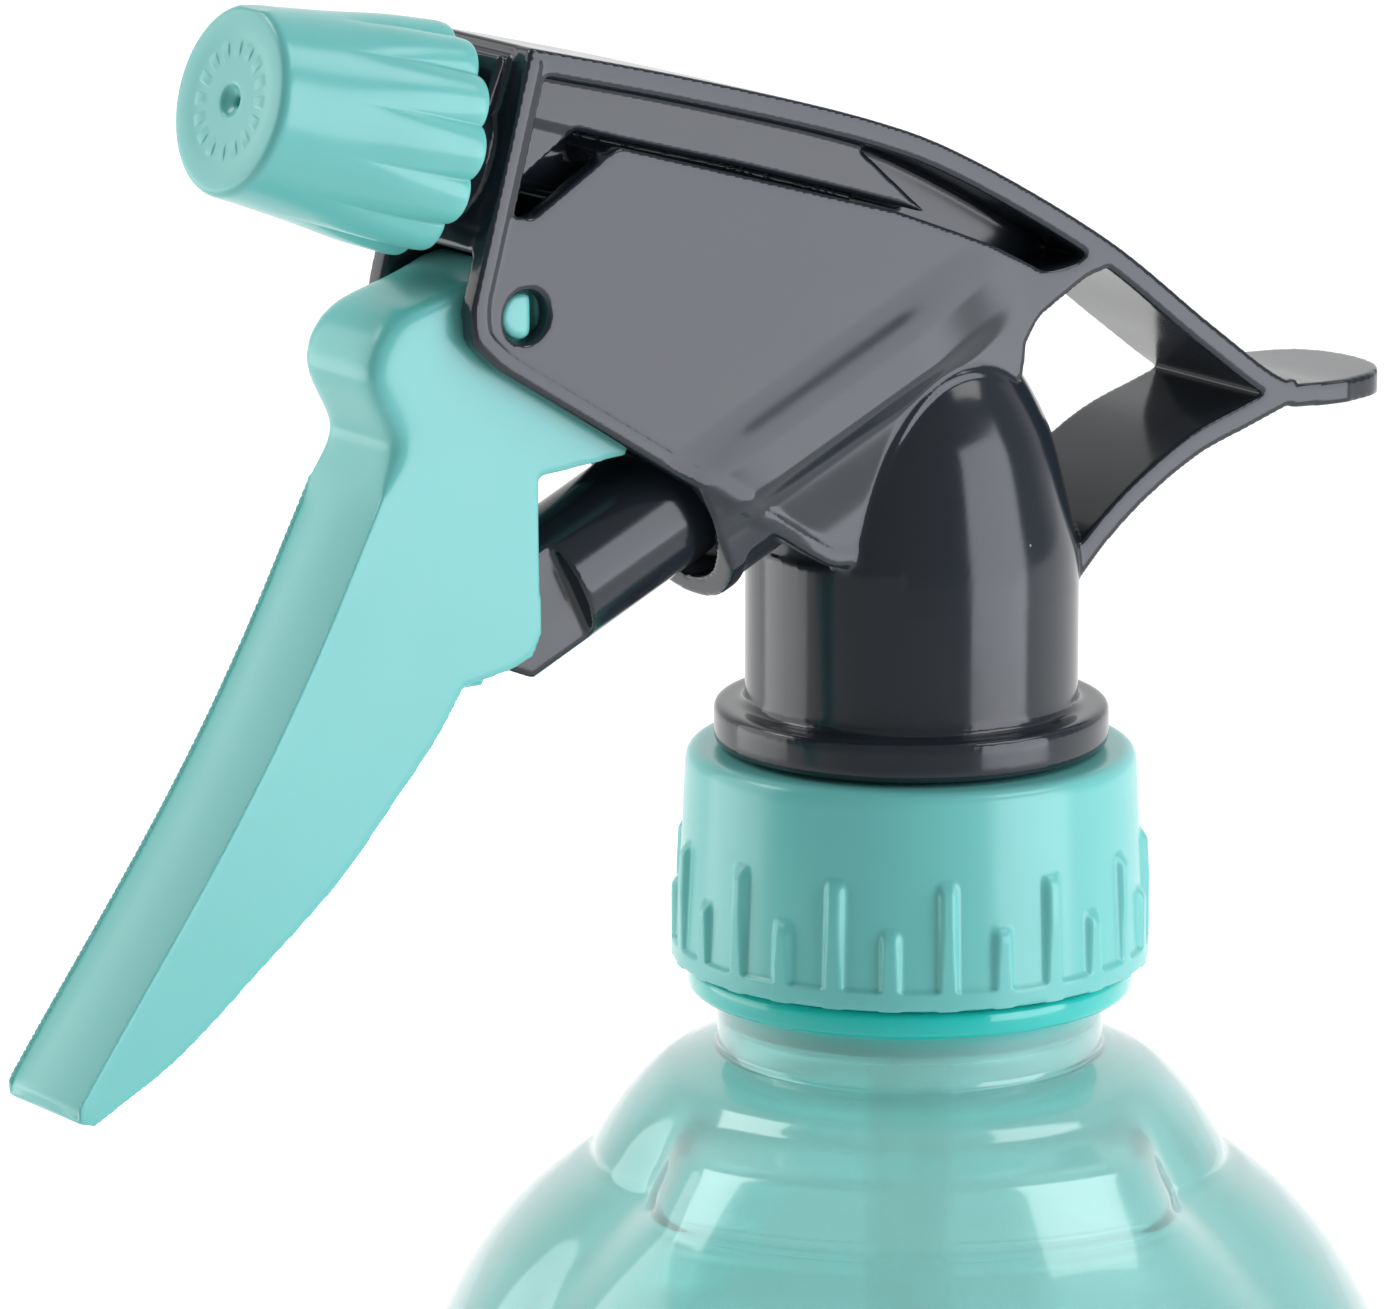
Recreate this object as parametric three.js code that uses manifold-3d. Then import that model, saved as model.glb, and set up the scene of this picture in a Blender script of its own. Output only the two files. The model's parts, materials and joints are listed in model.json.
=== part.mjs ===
// Hand mister: a clear bottle with a threaded neck, and a trigger pump head held on it by a ribbed collar.
// Millimetres. +Z is up, the nozzle points towards -X, and the origin is the centre of the bottle's base.
import * as THREE from 'three';
import { mergeVertices } from 'three/addons/utils/BufferGeometryUtils.js';
import Module from 'manifold-3d';

const wasm = await Module();
wasm.setup();

// ---------- driving dimensions ----------
const HEAD_Z = 134; // height of the head's seat above the bottle's base
const GAP = 0.3; // running gap between pieces that touch on the real object
const ROUND = 32; // facets round a large turned piece
const PUMP_ROUND = 28; // facets round the pump and what runs in it
const SMALL_ROUND = 20; // facets round a small turned piece

// bottle: heights are measured down from the head's seat
const BOTTLE_R = 45;
const BOTTLE_WALL = 0.9;
const FINISH_TOP = -5.9;
const FINISH_R = 12.65;
const FINISH_BORE_R = 10.9;
const RING_TOP = -16.8;
const RING_BOTTOM = -18.9;
const RING_R = 16.6;
const NECK_R = 14.4;
const NECK_WALL = 1.4;
const NECK_JOIN = -23.3;
const FOOT_R = 38;
const BASE_WALL = 1.2;
const THREAD_LEAD = 4.233; // six threads to the inch
const THREAD_TURNS = 1.4;
const THREAD_SECTION = 0.8; // radius of both thread ridges' section
const BOTTLE_THREAD_R = 13.7;
const COLLAR_THREAD_R = 14.1;

// collar
const COLLAR_BOTTOM = -16.3;
const COLLAR_TOP_R = 16.7;
const COLLAR_BASE_R = 17.5;
const COLLAR_BAND_R = 17.8;
const COLLAR_BORE_R = 14.9;
const COLLAR_HOLE_R = 11.2;
const COLLAR_PLATE = 1.7;
const RIB_COUNT = 26;
const RIB_TALL = 8.2;
const RIB_SHORT = 4.7;
const RIB_WIDTH = 1.6;
const RIB_START = THREE.MathUtils.degToRad(-6.4); // angle of the first tall rib

// spray body
const BODY_HALF = 6.7; // half width over the two side plates and of the straps
const PLATE_INNER = 5.1;
const WEB_HALF = 4.9;
const RIDGE_HALF = 3.6;
const STRAP_THICKNESS = 1.8;
const WALL_THICKNESS = 1.8; // front wall
const BARREL_R = 12.35;
const BARREL_BORE_R = 9.5;
const SKIRT_R = 10.9;
const FLANGE_R = 14.65;
const FLANGE_HEIGHT = 3;
const FEED_TUBE_R = 4.8;
const FEED_BORE_R = 1.6;

// pump: everything is measured along its axis from the centre of the cylinder's mouth
const PUMP_MOUTH = [-23, 20.6];
const PUMP_TILT = THREE.MathUtils.degToRad(25.6);
const PUMP_R = 7.7;
const PUMP_LIP_R = 8.1;
const PUMP_BORE_R = 6.3;
const PUMP_LENGTH = 24.4;
const PUMP_BORE_DEPTH = 22.6;
const ROD_R = 5;
const ROD_FLAT = 3.1;
const ROD_BORE_R = 3.7;
const FLAT_START = -10.6; // the rod is flattened outside this point
const ROD_END = -17.3; // centre of the rod's rounded tip
const ROD_TIP_R = 2.2;
const SEAL_R = 6.15;

// trigger
const PIVOT = [-38.7, 37.1];
const PIVOT_HOLE_R = 1.95;
const TRIGGER_HALF = 4.8;
const TRIGGER_INNER = 3.4;

// nozzle: measured forwards along its axis from the face of the front wall
const NOZZLE_FACE = [-40.4, 48.6];
const NOZZLE_TILT = THREE.MathUtils.degToRad(15.3);
const NOZZLE_LEAD = 2;
const SPIGOT_R = 5.2;
const SPIGOT_LENGTH = 15.2;
const SPIGOT_BORE_R = 2.9;
const SPIGOT_SEAT = 1.5;
const SPIGOT_THREAD_R = 5.75;
const CAP_REAR = 2.8;
const CAP_FRONT = 19.4;
const CAP_FACE = 2; // thickness of the front face
const CAP_DISH = 0.4; // depth of the hollow in the front face
const CAP_DISH_R = 5.4;
const CAP_REAR_R = 8.45;
const CAP_FRONT_R = 6.8;
const CAP_BORE_R = 6.3;
const CAP_LOBES = 12;
const CAP_LOBE_HEIGHT = 0.35;

// colours
const AQUA = 0x8fd6cf;
const CLEAR_AQUA = 0x9fe0d4;
const SLATE = 0x575c66;
const WHITE_PLASTIC = 0xe6e8e6;
const BLACK_RUBBER = 0x1d1e20;
const STEEL = 0xb9bcc0;

// ---------- turning geometry into solids and back ----------
function solid(geometry) {
  const bare = geometry.clone();
  bare.deleteAttribute('normal');
  bare.deleteAttribute('uv');
  const merged = mergeVertices(bare, 1e-4);
  const vertProperties = new Float32Array(merged.attributes.position.array);
  const triVerts = new Uint32Array(merged.index.array);
  if (signedVolume(vertProperties, triVerts) < 0) {
    for (let i = 0; i < triVerts.length; i += 3) {
      [triVerts[i], triVerts[i + 1]] = [triVerts[i + 1], triVerts[i]];
    }
  }
  return new wasm.Manifold(new wasm.Mesh({ numProp: 3, vertProperties, triVerts }));
}

function signedVolume(points, triangles) {
  const a = new THREE.Vector3();
  const b = new THREE.Vector3();
  const c = new THREE.Vector3();
  let volume = 0;
  for (let i = 0; i < triangles.length; i += 3) {
    a.fromArray(points, triangles[i] * 3);
    b.fromArray(points, triangles[i + 1] * 3);
    c.fromArray(points, triangles[i + 2] * 3);
    volume += a.dot(b.cross(c));
  }
  return volume;
}

function joined(...parts) {
  return parts.reduce((whole, part) => whole.add(part));
}

function without(body, ...cuts) {
  return cuts.reduce((rest, cut) => rest.subtract(cut), body);
}

function geometryOf(manifold) {
  const mesh = manifold.getMesh();
  const geometry = new THREE.BufferGeometry();
  geometry.setAttribute('position', new THREE.BufferAttribute(new Float32Array(mesh.vertProperties), 3));
  geometry.setIndex(new THREE.BufferAttribute(new Uint32Array(mesh.triVerts), 1));
  geometry.computeVertexNormals();
  return geometry;
}

// ---------- shared shapes ----------
// A slab: an outline of [x, z] points, spread to y0..y1.
function slab(outline, y0, y1) {
  const shape = outline instanceof THREE.Shape ? outline : new THREE.Shape(vectors(outline));
  const options = { depth: y1 - y0, bevelEnabled: false, curveSegments: 5 };
  const geometry = new THREE.ExtrudeGeometry(shape, options);
  geometry.rotateX(Math.PI / 2);
  geometry.translate(0, y1, 0);
  return solid(geometry);
}

function vectors(outline) {
  return outline.map(([x, z]) => new THREE.Vector2(x, z));
}

function centredSlab(outline, halfWidth) {
  return slab(outline, -halfWidth, halfWidth);
}

// A strip of even thickness along a smooth curve of [x, z] points, as an outline.
function ribbon(spine, thickness, steps) {
  const curve = new THREE.SplineCurve(vectors(spine));
  const upper = [];
  const lower = [];
  for (let i = 0; i <= steps; i += 1) {
    const at = curve.getPoint(i / steps);
    const along = curve.getTangent(i / steps);
    const half = thickness / 2;
    upper.push([at.x - along.y * half, at.y + along.x * half]);
    lower.unshift([at.x + along.y * half, at.y - along.x * half]);
  }
  return [...upper, ...lower];
}

// A turned solid: a profile of [radius, height] points about +Z.
function turned(profile, facets = ROUND) {
  const geometry = new THREE.LatheGeometry(vectors(profile), facets);
  geometry.rotateX(Math.PI / 2);
  return geometry;
}

function ringProfile(inner, outer, low, high) {
  return [[inner, low], [outer, low], [outer, high], [inner, high], [inner, low]];
}

function rodProfile(radius, low, high) {
  return [[0, low], [radius, low], [radius, high], [0, high]];
}

// Turns a geometry made about +Z so that it stands on a tilted axis in the XZ plane.
function onAxis(geometry, [x, z], direction) {
  const turn = new THREE.Quaternion().setFromUnitVectors(new THREE.Vector3(0, 0, 1), direction);
  geometry.applyQuaternion(turn);
  geometry.translate(x, 0, z);
  return geometry;
}

const PUMP_DIRECTION = new THREE.Vector3(Math.cos(PUMP_TILT), 0, Math.sin(PUMP_TILT));
const NOZZLE_DIRECTION = new THREE.Vector3(-Math.cos(NOZZLE_TILT), 0, Math.sin(NOZZLE_TILT));

function onPump(geometry) {
  return onAxis(geometry, PUMP_MOUTH, PUMP_DIRECTION);
}

function onNozzle(geometry) {
  return onAxis(geometry, NOZZLE_FACE, NOZZLE_DIRECTION);
}

function pumpPoint(along) {
  return [PUMP_MOUTH[0] + along * PUMP_DIRECTION.x, PUMP_MOUTH[1] + along * PUMP_DIRECTION.z];
}

class Helix extends THREE.Curve {
  constructor(radius, low, lead, turns) {
    super();
    Object.assign(this, { radius, low, lead, turns });
  }

  getPoint(t, target = new THREE.Vector3()) {
    const angle = t * this.turns * 2 * Math.PI;
    const height = this.low + t * this.turns * this.lead;
    return target.set(this.radius * Math.cos(angle), this.radius * Math.sin(angle), height);
  }
}

// A wire or ridge of round section that winds about +Z.
function winding(radius, low, lead, turns, sectionR, sides, stepsPerTurn) {
  const section = new THREE.Shape();
  for (let i = 0; i < sides; i += 1) {
    const angle = (2 * Math.PI * i) / sides;
    const point = [sectionR * Math.cos(angle), sectionR * Math.sin(angle)];
    if (i === 0) section.moveTo(...point);
    else section.lineTo(...point);
  }
  section.closePath();
  return new THREE.ExtrudeGeometry(section, {
    steps: Math.round(turns * stepsPerTurn),
    bevelEnabled: false,
    extrudePath: new Helix(radius, low, lead, turns),
  });
}

// ---------- placing the pieces ----------
const mister = new THREE.Group();
const head = new THREE.Group();
head.position.z = HEAD_Z;
mister.add(head);

function piece(group, name, shape, color, roughness, metalness = 0) {
  const geometry = geometryOf(shape instanceof THREE.BufferGeometry ? solid(shape) : shape);
  const material = new THREE.MeshStandardMaterial({ color, roughness, metalness });
  const mesh = new THREE.Mesh(geometry, material);
  mesh.name = name;
  group.add(mesh);
}

// ---------- bottle ----------
// Outer profile below the neck, from the base up to the shoulder. Heights are in the head's frame.
const BOTTLE_BASE = -HEAD_Z;
const SHOULDER = [
  [BOTTLE_R, -74],
  [44.1, -66],
  [42, -58],
  [38.4, -50],
  [34.2, -43.1],
  [31.6, -39],
  [28.8, -35.8],
  [24.4, -32],
  [23.3, -30.6],
  [21.3, -27.8],
  [18.3, -24.6],
];

function bottleOutside() {
  return [
    [0, BOTTLE_BASE], [FOOT_R, BOTTLE_BASE], [42.5, BOTTLE_BASE + 2], [BOTTLE_R, BOTTLE_BASE + 7],
    ...SHOULDER,
    [NECK_R, NECK_JOIN], [NECK_R, RING_BOTTOM], [RING_R, RING_BOTTOM + 0.5], [RING_R, RING_TOP - 0.5],
    [NECK_R, RING_TOP], [FINISH_R, RING_TOP], [FINISH_R, FINISH_TOP], [FINISH_BORE_R, FINISH_TOP],
  ];
}

function bottleInside() {
  const shoulder = SHOULDER.map(([r, z]) => [r - BOTTLE_WALL, z - 0.6 * BOTTLE_WALL]).reverse();
  return [
    [FINISH_BORE_R, RING_BOTTOM], [NECK_R - NECK_WALL, RING_BOTTOM - 2],
    [NECK_R - NECK_WALL, NECK_JOIN - BOTTLE_WALL],
    ...shoulder,
    [BOTTLE_R - BOTTLE_WALL, BOTTLE_BASE + 7], [42, BOTTLE_BASE + 3], [FOOT_R, BOTTLE_BASE + BASE_WALL],
    [0, BOTTLE_BASE + BASE_WALL],
  ];
}

function neckThread(radius, low) {
  return winding(radius, low, THREAD_LEAD, THREAD_TURNS, THREAD_SECTION, 6, 16);
}

function bottle() {
  const threadLow = FINISH_TOP - 2 - THREAD_LEAD * THREAD_TURNS;
  const ridge = neckThread(BOTTLE_THREAD_R - THREAD_SECTION, threadLow);
  return joined(solid(turned([...bottleOutside(), ...bottleInside()])), solid(ridge));
}

// ---------- collar ----------
function collar() {
  const top = -GAP;
  const wall = [
    [COLLAR_HOLE_R, top], [COLLAR_TOP_R - 1.1, top], [COLLAR_TOP_R - 0.3, top - 0.35],
    [COLLAR_TOP_R, top - 1.2], [COLLAR_BASE_R, COLLAR_BOTTOM + 1.5], [COLLAR_BAND_R, COLLAR_BOTTOM + 1.3],
    [COLLAR_BAND_R, COLLAR_BOTTOM + 0.3], [COLLAR_BAND_R - 0.3, COLLAR_BOTTOM],
    [COLLAR_BORE_R, COLLAR_BOTTOM], [COLLAR_BORE_R, top - COLLAR_PLATE],
    [COLLAR_HOLE_R, top - COLLAR_PLATE], [COLLAR_HOLE_R, top],
  ];
  const ribs = [];
  for (let i = 0; i < RIB_COUNT; i += 1) {
    const height = i % 2 === 0 ? RIB_TALL : RIB_SHORT;
    const rib = new THREE.BoxGeometry(2, RIB_WIDTH, height);
    rib.translate(COLLAR_BAND_R - 1.05, 0, COLLAR_BOTTOM + 1.2 + height / 2);
    rib.rotateZ(RIB_START + (2 * Math.PI * i) / RIB_COUNT);
    ribs.push(solid(rib));
  }
  const threadLow = COLLAR_BOTTOM + 2;
  const ridge = neckThread(COLLAR_THREAD_R + THREAD_SECTION, threadLow);
  return joined(solid(turned(wall)), ...ribs, solid(ridge));
}

// ---------- neck gasket, valve seat, dip tube, inlet ball ----------
const SEAT_FLANGE_R = 12.6;
const SEAT_FLANGE_TOP = -GAP - COLLAR_PLATE - GAP;
const SEAT_FLANGE_BOTTOM = -3.9;
const SEAT_TOP = 8;
const SEAT_PLANE = 3;
const SEAT_HOLE_R = 1.2;
const SEAT_TUBE_R = 3;
const SOCKET_BOTTOM = -13;
const TUBE_R = 3;
const TUBE_BORE_R = 2.1;
const INLET_BALL_R = 1.9;

function valveSeat() {
  const under = -2.7;
  return turned([
    [SEAT_HOLE_R, SEAT_PLANE], [2.35, SEAT_PLANE], [2.35, SEAT_TOP], [SEAT_TUBE_R, SEAT_TOP],
    [SEAT_TUBE_R, -1.2], [7.8, -1.2], [7.8, 3], [9.2, 3], [9.2, SEAT_FLANGE_TOP],
    [SEAT_FLANGE_R, SEAT_FLANGE_TOP], [SEAT_FLANGE_R, SEAT_FLANGE_BOTTOM], [4.6, SEAT_FLANGE_BOTTOM],
    [4.6, SOCKET_BOTTOM + 0.5], [4.2, SOCKET_BOTTOM], [TUBE_R + GAP, SOCKET_BOTTOM], [TUBE_R + GAP, under],
    [SEAT_HOLE_R, under], [SEAT_HOLE_R, SEAT_PLANE],
  ], PUMP_ROUND);
}

function neckGasket() {
  return turned(ringProfile(10, SEAT_FLANGE_R, FINISH_TOP + GAP, SEAT_FLANGE_BOTTOM - GAP));
}

function dipTube() {
  const low = BOTTLE_BASE + 5;
  const pipe = solid(turned(ringProfile(TUBE_BORE_R, TUBE_R, low, -3), SMALL_ROUND));
  const slant = [[-4, low - 1], [4, low - 1], [4, low + 4], [-4, low]];
  return without(pipe, centredSlab(slant, 4));
}

// ---------- spray body ----------
// Outlines in the XZ plane, in the head's frame.
const FRONT_RIM = [[-38.3, 56.2], [-43.4, 38], [-43.2, 35.6], [-41, 33.5]];
const PLATE_UNDERSIDE = [[-14.1, 16.8], [-12, 15.6], [-8, 15.4]];
const PLATE_REAR = [
  [-2, 24], [5.2, 27.8], [5.4, 30.3], [6.6, 32.1], [8.5, 33.2], [11, 34.6], [13.4, 35.2],
];
const PLATE_TOP = [
  [12.2, 37], [10, 35.7], [7.2, 35.4], [2.9, 37.7], [-0.8, 39.2], [-6.2, 41.1], [-31.2, 48.3],
];
const PLATE_NOTCH = [[-38, 44.6], [-39.5, 44.7], [-40.1, 46], [-37.8, 55.4]];
const STRAP_SPINE = [
  [-38.4, 55.4], [-24.1, 51.8], [-9.2, 47.5], [0, 43.7], [12.4, 36.5], [22, 29.2], [29, 24.2], [33, 23.3],
  [42, 23.3],
];
const SPUR_SPINE = [[31, 24], [26, 22.4], [21.2, 20.8], [16.4, 18.1], [12.6, 15.2], [9.8, 12.4]];
const TAIL_TIP = 41.9;
// The web closes the space under the top strap; the roof closes the space over the pump.
const WEB = [
  [-39.4, 55.6], [-40.9, 48.4], [-40.2, 44.9], [-33, 48.8], [-32.4, 47.6], [-9, 40.6], [-8.7, 47],
];
const ROOF = [
  [-32.4, 48.7], [-32.4, 47], [-9, 39.8], [-3, 33], [3, 33], [7, 34], [7.2, 35.4], [2.9, 37.7], [-0.8, 39.2],
  [-6.2, 41.1],
];
// The ridge covers the delivery tube's rear end and closes the slot under the strap.
const RIDGE = [
  [-10, 39], [3, 33.5], [8, 33.5], [12.6, 34.9], [12.6, 36.2], [6.6, 39.8], [0, 43.4], [-8.8, 46.6],
];
const DELIVERY_END = [-1, 36.8];

function barrel() {
  const outside = [
    [SKIRT_R, -2], [SKIRT_R, 0], [FLANGE_R, 0], [FLANGE_R, 2.2], [FLANGE_R - 0.5, FLANGE_HEIGHT - 0.2],
    [FLANGE_R - 1.2, FLANGE_HEIGHT], [BARREL_R, FLANGE_HEIGHT], [BARREL_R, 13], [12.1, 15.4], [11.3, 19],
    [10.4, 22.9], [9.5, 24.8], [8, 27.6], [6.2, 29.6], [3.4, 31.2], [0, 31.8],
  ];
  const inside = [
    [0, 20], [FEED_TUBE_R + 1, 19], [BARREL_BORE_R, 13], [BARREL_BORE_R, -2], [SKIRT_R, -2],
  ];
  return solid(turned([...outside, ...inside]));
}

function frontWall() {
  const wall = new THREE.BoxGeometry(2 * BODY_HALF + 0.6, 2 * BODY_HALF, WALL_THICKNESS);
  wall.translate(0, 0, -WALL_THICKNESS / 2);
  return solid(onNozzle(wall));
}

function sidePlates() {
  const outline = [...FRONT_RIM, ...PLATE_UNDERSIDE, ...PLATE_REAR, ...PLATE_TOP, ...PLATE_NOTCH];
  return [slab(outline, -BODY_HALF, -PLATE_INNER), slab(outline, PLATE_INNER, BODY_HALF)];
}

// A block whose plan has the tail's rounded end; it trims the straps.
function tailRounding() {
  const square = TAIL_TIP - 6;
  const plan = new THREE.Shape();
  plan.moveTo(-60, -BODY_HALF);
  plan.lineTo(square, -BODY_HALF);
  plan.bezierCurveTo(TAIL_TIP - 1.5, -BODY_HALF, TAIL_TIP, -4, TAIL_TIP, 0);
  plan.bezierCurveTo(TAIL_TIP, 4, TAIL_TIP - 1.5, BODY_HALF, square, BODY_HALF);
  plan.lineTo(-60, BODY_HALF);
  plan.closePath();
  return solid(new THREE.ExtrudeGeometry(plan, { depth: 70, bevelEnabled: false, curveSegments: 6 }));
}

function straps() {
  const top = centredSlab(ribbon(STRAP_SPINE, STRAP_THICKNESS, 20), BODY_HALF);
  const spur = centredSlab(ribbon(SPUR_SPINE, STRAP_THICKNESS, 8), BODY_HALF);
  return joined(top, spur).intersect(tailRounding());
}

// The pump cylinder: its mouth stays within the side plates, and the rest bulges out of them.
function pumpCylinder() {
  const end = [[PUMP_R, PUMP_LENGTH - 2], [PUMP_R - 2, PUMP_LENGTH], [0, PUMP_LENGTH]];
  const lip = [[0, 0], [PUMP_LIP_R, 0], [PUMP_LIP_R, 1.4], [PUMP_R, 1.9]];
  const lipped = turned([...lip, ...end], PUMP_ROUND);
  const mouth = solid(onPump(lipped)).intersect(centredSlab(around(PUMP_MOUTH, 40), BODY_HALF));
  const bulge = solid(onPump(turned([[0, 3.6], [PUMP_R - 1.2, 3.6], [PUMP_R, 5], ...end], PUMP_ROUND)));
  return joined(mouth, bulge);
}

// The front half of the barrel goes straight up under the side plates.
function shelf() {
  const column = solid(turned(rodProfile(BARREL_R, FLANGE_HEIGHT, 15.2)));
  return column.intersect(slab(around([-27.8, 0], 20), -20, 20));
}

function spigot() {
  const tube = solid(onNozzle(turned(rodProfile(SPIGOT_R, -1, SPIGOT_LENGTH), SMALL_ROUND)));
  const section = 0.5;
  const thread = solid(onNozzle(winding(SPIGOT_THREAD_R - section, 2, NOZZLE_LEAD, 2.5, section, 5, 14)));
  return joined(tube, thread);
}

// The passage from the pump's chamber over the feed tube to the outlet valve.
function passages() {
  const clear = SEAT_TUBE_R + GAP;
  const step = SEAT_TOP + GAP;
  const port = solid(onPump(turned(rodProfile(1.4, PUMP_BORE_DEPTH - 1, PUMP_LENGTH + 1), 12)));
  const top = DELIVERY_END[1];
  const feed = [[0, 3], [clear, 3], [clear, step], [FEED_BORE_R, step], [FEED_BORE_R, top], [0, top]];
  const toNozzle = new THREE.Vector3(NOZZLE_FACE[0] - DELIVERY_END[0], 0, NOZZLE_FACE[1] - DELIVERY_END[1]);
  const length = toNozzle.length() + SPIGOT_SEAT + 0.5;
  const delivery = solid(onAxis(turned(rodProfile(1.3, 0, length), 12), DELIVERY_END, toNozzle.normalize()));
  const valveBore = rodProfile(SPIGOT_BORE_R, SPIGOT_SEAT, SPIGOT_LENGTH + 1);
  const valve = solid(onNozzle(turned(valveBore, SMALL_ROUND)));
  const vent = solid(turned(rodProfile(0.6, 0, 8), 8).translate(-6.5, 0, 14));
  return [port, solid(turned(feed, 16)), delivery, valve, vent];
}

function sprayBody() {
  const barrelSpace = [[0, -3], [BARREL_BORE_R, -3], [BARREL_BORE_R, 13], [FEED_TUBE_R + 1, 19], [0, 20]];
  const triggerSpace = [[-46, 42.8], [-34, 42.8], [-26.5, 37], [-26.5, 26], [-30, 20], [-50, 30]];
  const shell = without(
    joined(barrel(), shelf(), ...sidePlates()),
    centredSlab(triggerSpace, PLATE_INNER),
    solid(turned(barrelSpace)),
  );
  const deliveryTube = solid(onNozzle(turned(rodProfile(3.6, -34, -0.5), SMALL_ROUND)));
  const feedTube = solid(turned(rodProfile(FEED_TUBE_R, 3.3, 22), SMALL_ROUND));
  const walls = [centredSlab(WEB, WEB_HALF), centredSlab(ROOF, BODY_HALF), centredSlab(RIDGE, RIDGE_HALF)];
  const tubes = [pumpCylinder(), deliveryTube, spigot(), feedTube];
  const framework = joined(shell, straps(), frontWall(), ...walls, ...tubes);
  const pumpBore = solid(onPump(turned(rodProfile(PUMP_BORE_R, -1, PUMP_BORE_DEPTH), PUMP_ROUND)));
  const pivotHole = slab(circle(PIVOT, PIVOT_HOLE_R, 20), -BODY_HALF - 1, BODY_HALF + 1);
  return without(framework, pumpBore, pivotHole, ...passages());
}

function circle([x, z], radius, sides) {
  const points = [];
  for (let i = 0; i < sides; i += 1) {
    const angle = (2 * Math.PI * i) / sides;
    points.push([x + radius * Math.cos(angle), z + radius * Math.sin(angle)]);
  }
  return points;
}

// ---------- trigger ----------
function triggerOutline() {
  const shape = new THREE.Shape();
  const [px, pz] = PIVOT;
  shape.moveTo(-44.5, 38.9);
  const hump = [[-48.1, 37.7], [-50.1, 35.6], [-50.5, 33.2], [-49.2, 30.4], [-48.4, 28.5], [-49.6, 25.7]];
  const front = [[-56.4, 12.8], [-63.3, 1.8], [-72.8, -11.4], [-75.6, -15.2]];
  const rear = [[-67.1, -13], [-60.4, -7.8], [-53.7, -2.3], [-48.6, 3.2], [-45.2, 7.1], [-42.9, 10.5]];
  shape.splineThru(vectors(hump));
  shape.splineThru(vectors(front));
  shape.lineTo(-75.4, -16.4);
  shape.lineTo(-74, -16.8);
  shape.splineThru(vectors(rear));
  shape.lineTo(-38.6, 11.3);
  shape.lineTo(-36.9, 12);
  shape.lineTo(-36.2, 13.6);
  shape.lineTo(-36.4, 25);
  shape.lineTo(-28.8, 25.7);
  shape.lineTo(-28.4, 29);
  shape.lineTo(px + 3, pz + 1.2);
  shape.absarc(px, pz, 3.2, 0.4, Math.PI * 0.6, false);
  shape.closePath();
  return shape;
}

function trigger() {
  const outside = centredSlab(triggerOutline(), TRIGGER_HALF);
  const channel = [
    [-46.4, 25.2], [-53.6, 13.2], [-60.6, 2], [-66.5, -6.4], [-62, -12], [-30, -4], [-22, 20], [-22, 34.5],
    [-43.5, 34.5], [-46.6, 30],
  ];
  const pusher = [[-53.8, 10.2], [-40.5, 10.2], [-42, 16.8], [-51, 16.8]];
  const bossReach = BODY_HALF - 0.6;
  const boss = slab(circle(PIVOT, PIVOT_HOLE_R - GAP, 16), -bossReach, bossReach);
  const lever = without(outside, centredSlab(channel, TRIGGER_INNER));
  return joined(lever, centredSlab(pusher, TRIGGER_INNER + 0.5), boss);
}

// ---------- piston, its seals and the return spring ----------
function piston() {
  const rod = solid(onPump(turned([
    [0, FLAT_START], [ROD_R, FLAT_START], [ROD_R, 1.6], [4.4, 1.6], [4.4, 3.4], [ROD_R, 3.4], [ROD_R, 5.8],
    [5.6, 5.8], [5.6, 6.2], [4.6, 6.2], [4.6, 9], [5.6, 9], [5.6, 9.6], [ROD_BORE_R, 9.6], [ROD_BORE_R, -4],
    [0, -4],
  ], PUMP_ROUND)));
  const round = solid(onPump(turned(rodProfile(ROD_R, ROD_END - 3, FLAT_START + 1), PUMP_ROUND)));
  return joined(rod, round.intersect(centredSlab(tongueOutline(), ROD_FLAT)));
}

function around([x, z], reach) {
  return [[x - reach, z - reach], [x + reach, z - reach], [x + reach, z + reach], [x - reach, z + reach]];
}

// The flat tongue at the rod's outer end, tapering to a rounded tip.
function tongueOutline() {
  const at = (along, across) => {
    const [x, z] = pumpPoint(along);
    return [x - across * PUMP_DIRECTION.z, z + across * PUMP_DIRECTION.x];
  };
  const tip = [];
  for (let i = 0; i <= 6; i += 1) {
    const angle = Math.PI / 2 + (Math.PI * i) / 6;
    tip.push(at(ROD_END + ROD_TIP_R * Math.cos(angle), ROD_TIP_R * Math.sin(angle)));
  }
  const root = FLAT_START + 1;
  const upper = [at(root, ROD_R), at(ROD_END + 1.8, ROD_R)];
  const lower = [at(ROD_END + 1.2, -3.8), at(ROD_END + 2.4, -ROD_R), at(root, -ROD_R)];
  return [...upper, ...tip, ...lower];
}

function sealRing(innerR, low, high) {
  const flare = 0.6;
  return onPump(turned([
    [innerR, low], [SEAL_R - flare, low], [SEAL_R, high - flare], [SEAL_R, high], [innerR, high],
    [innerR, low],
  ], PUMP_ROUND));
}

// ---------- nozzle ----------
const OUTLET_BALL_R = 1.8;
const OUTLET_BALL_AT = SPIGOT_SEAT + 1.35;
const CORE_REAR = 10.4;
const CORE_FRONT = 16;
const CAP_RING_AT = 12;
const CAP_RING_R = 5.95;
const CAP_RING_SECTION = 0.6;

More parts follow.
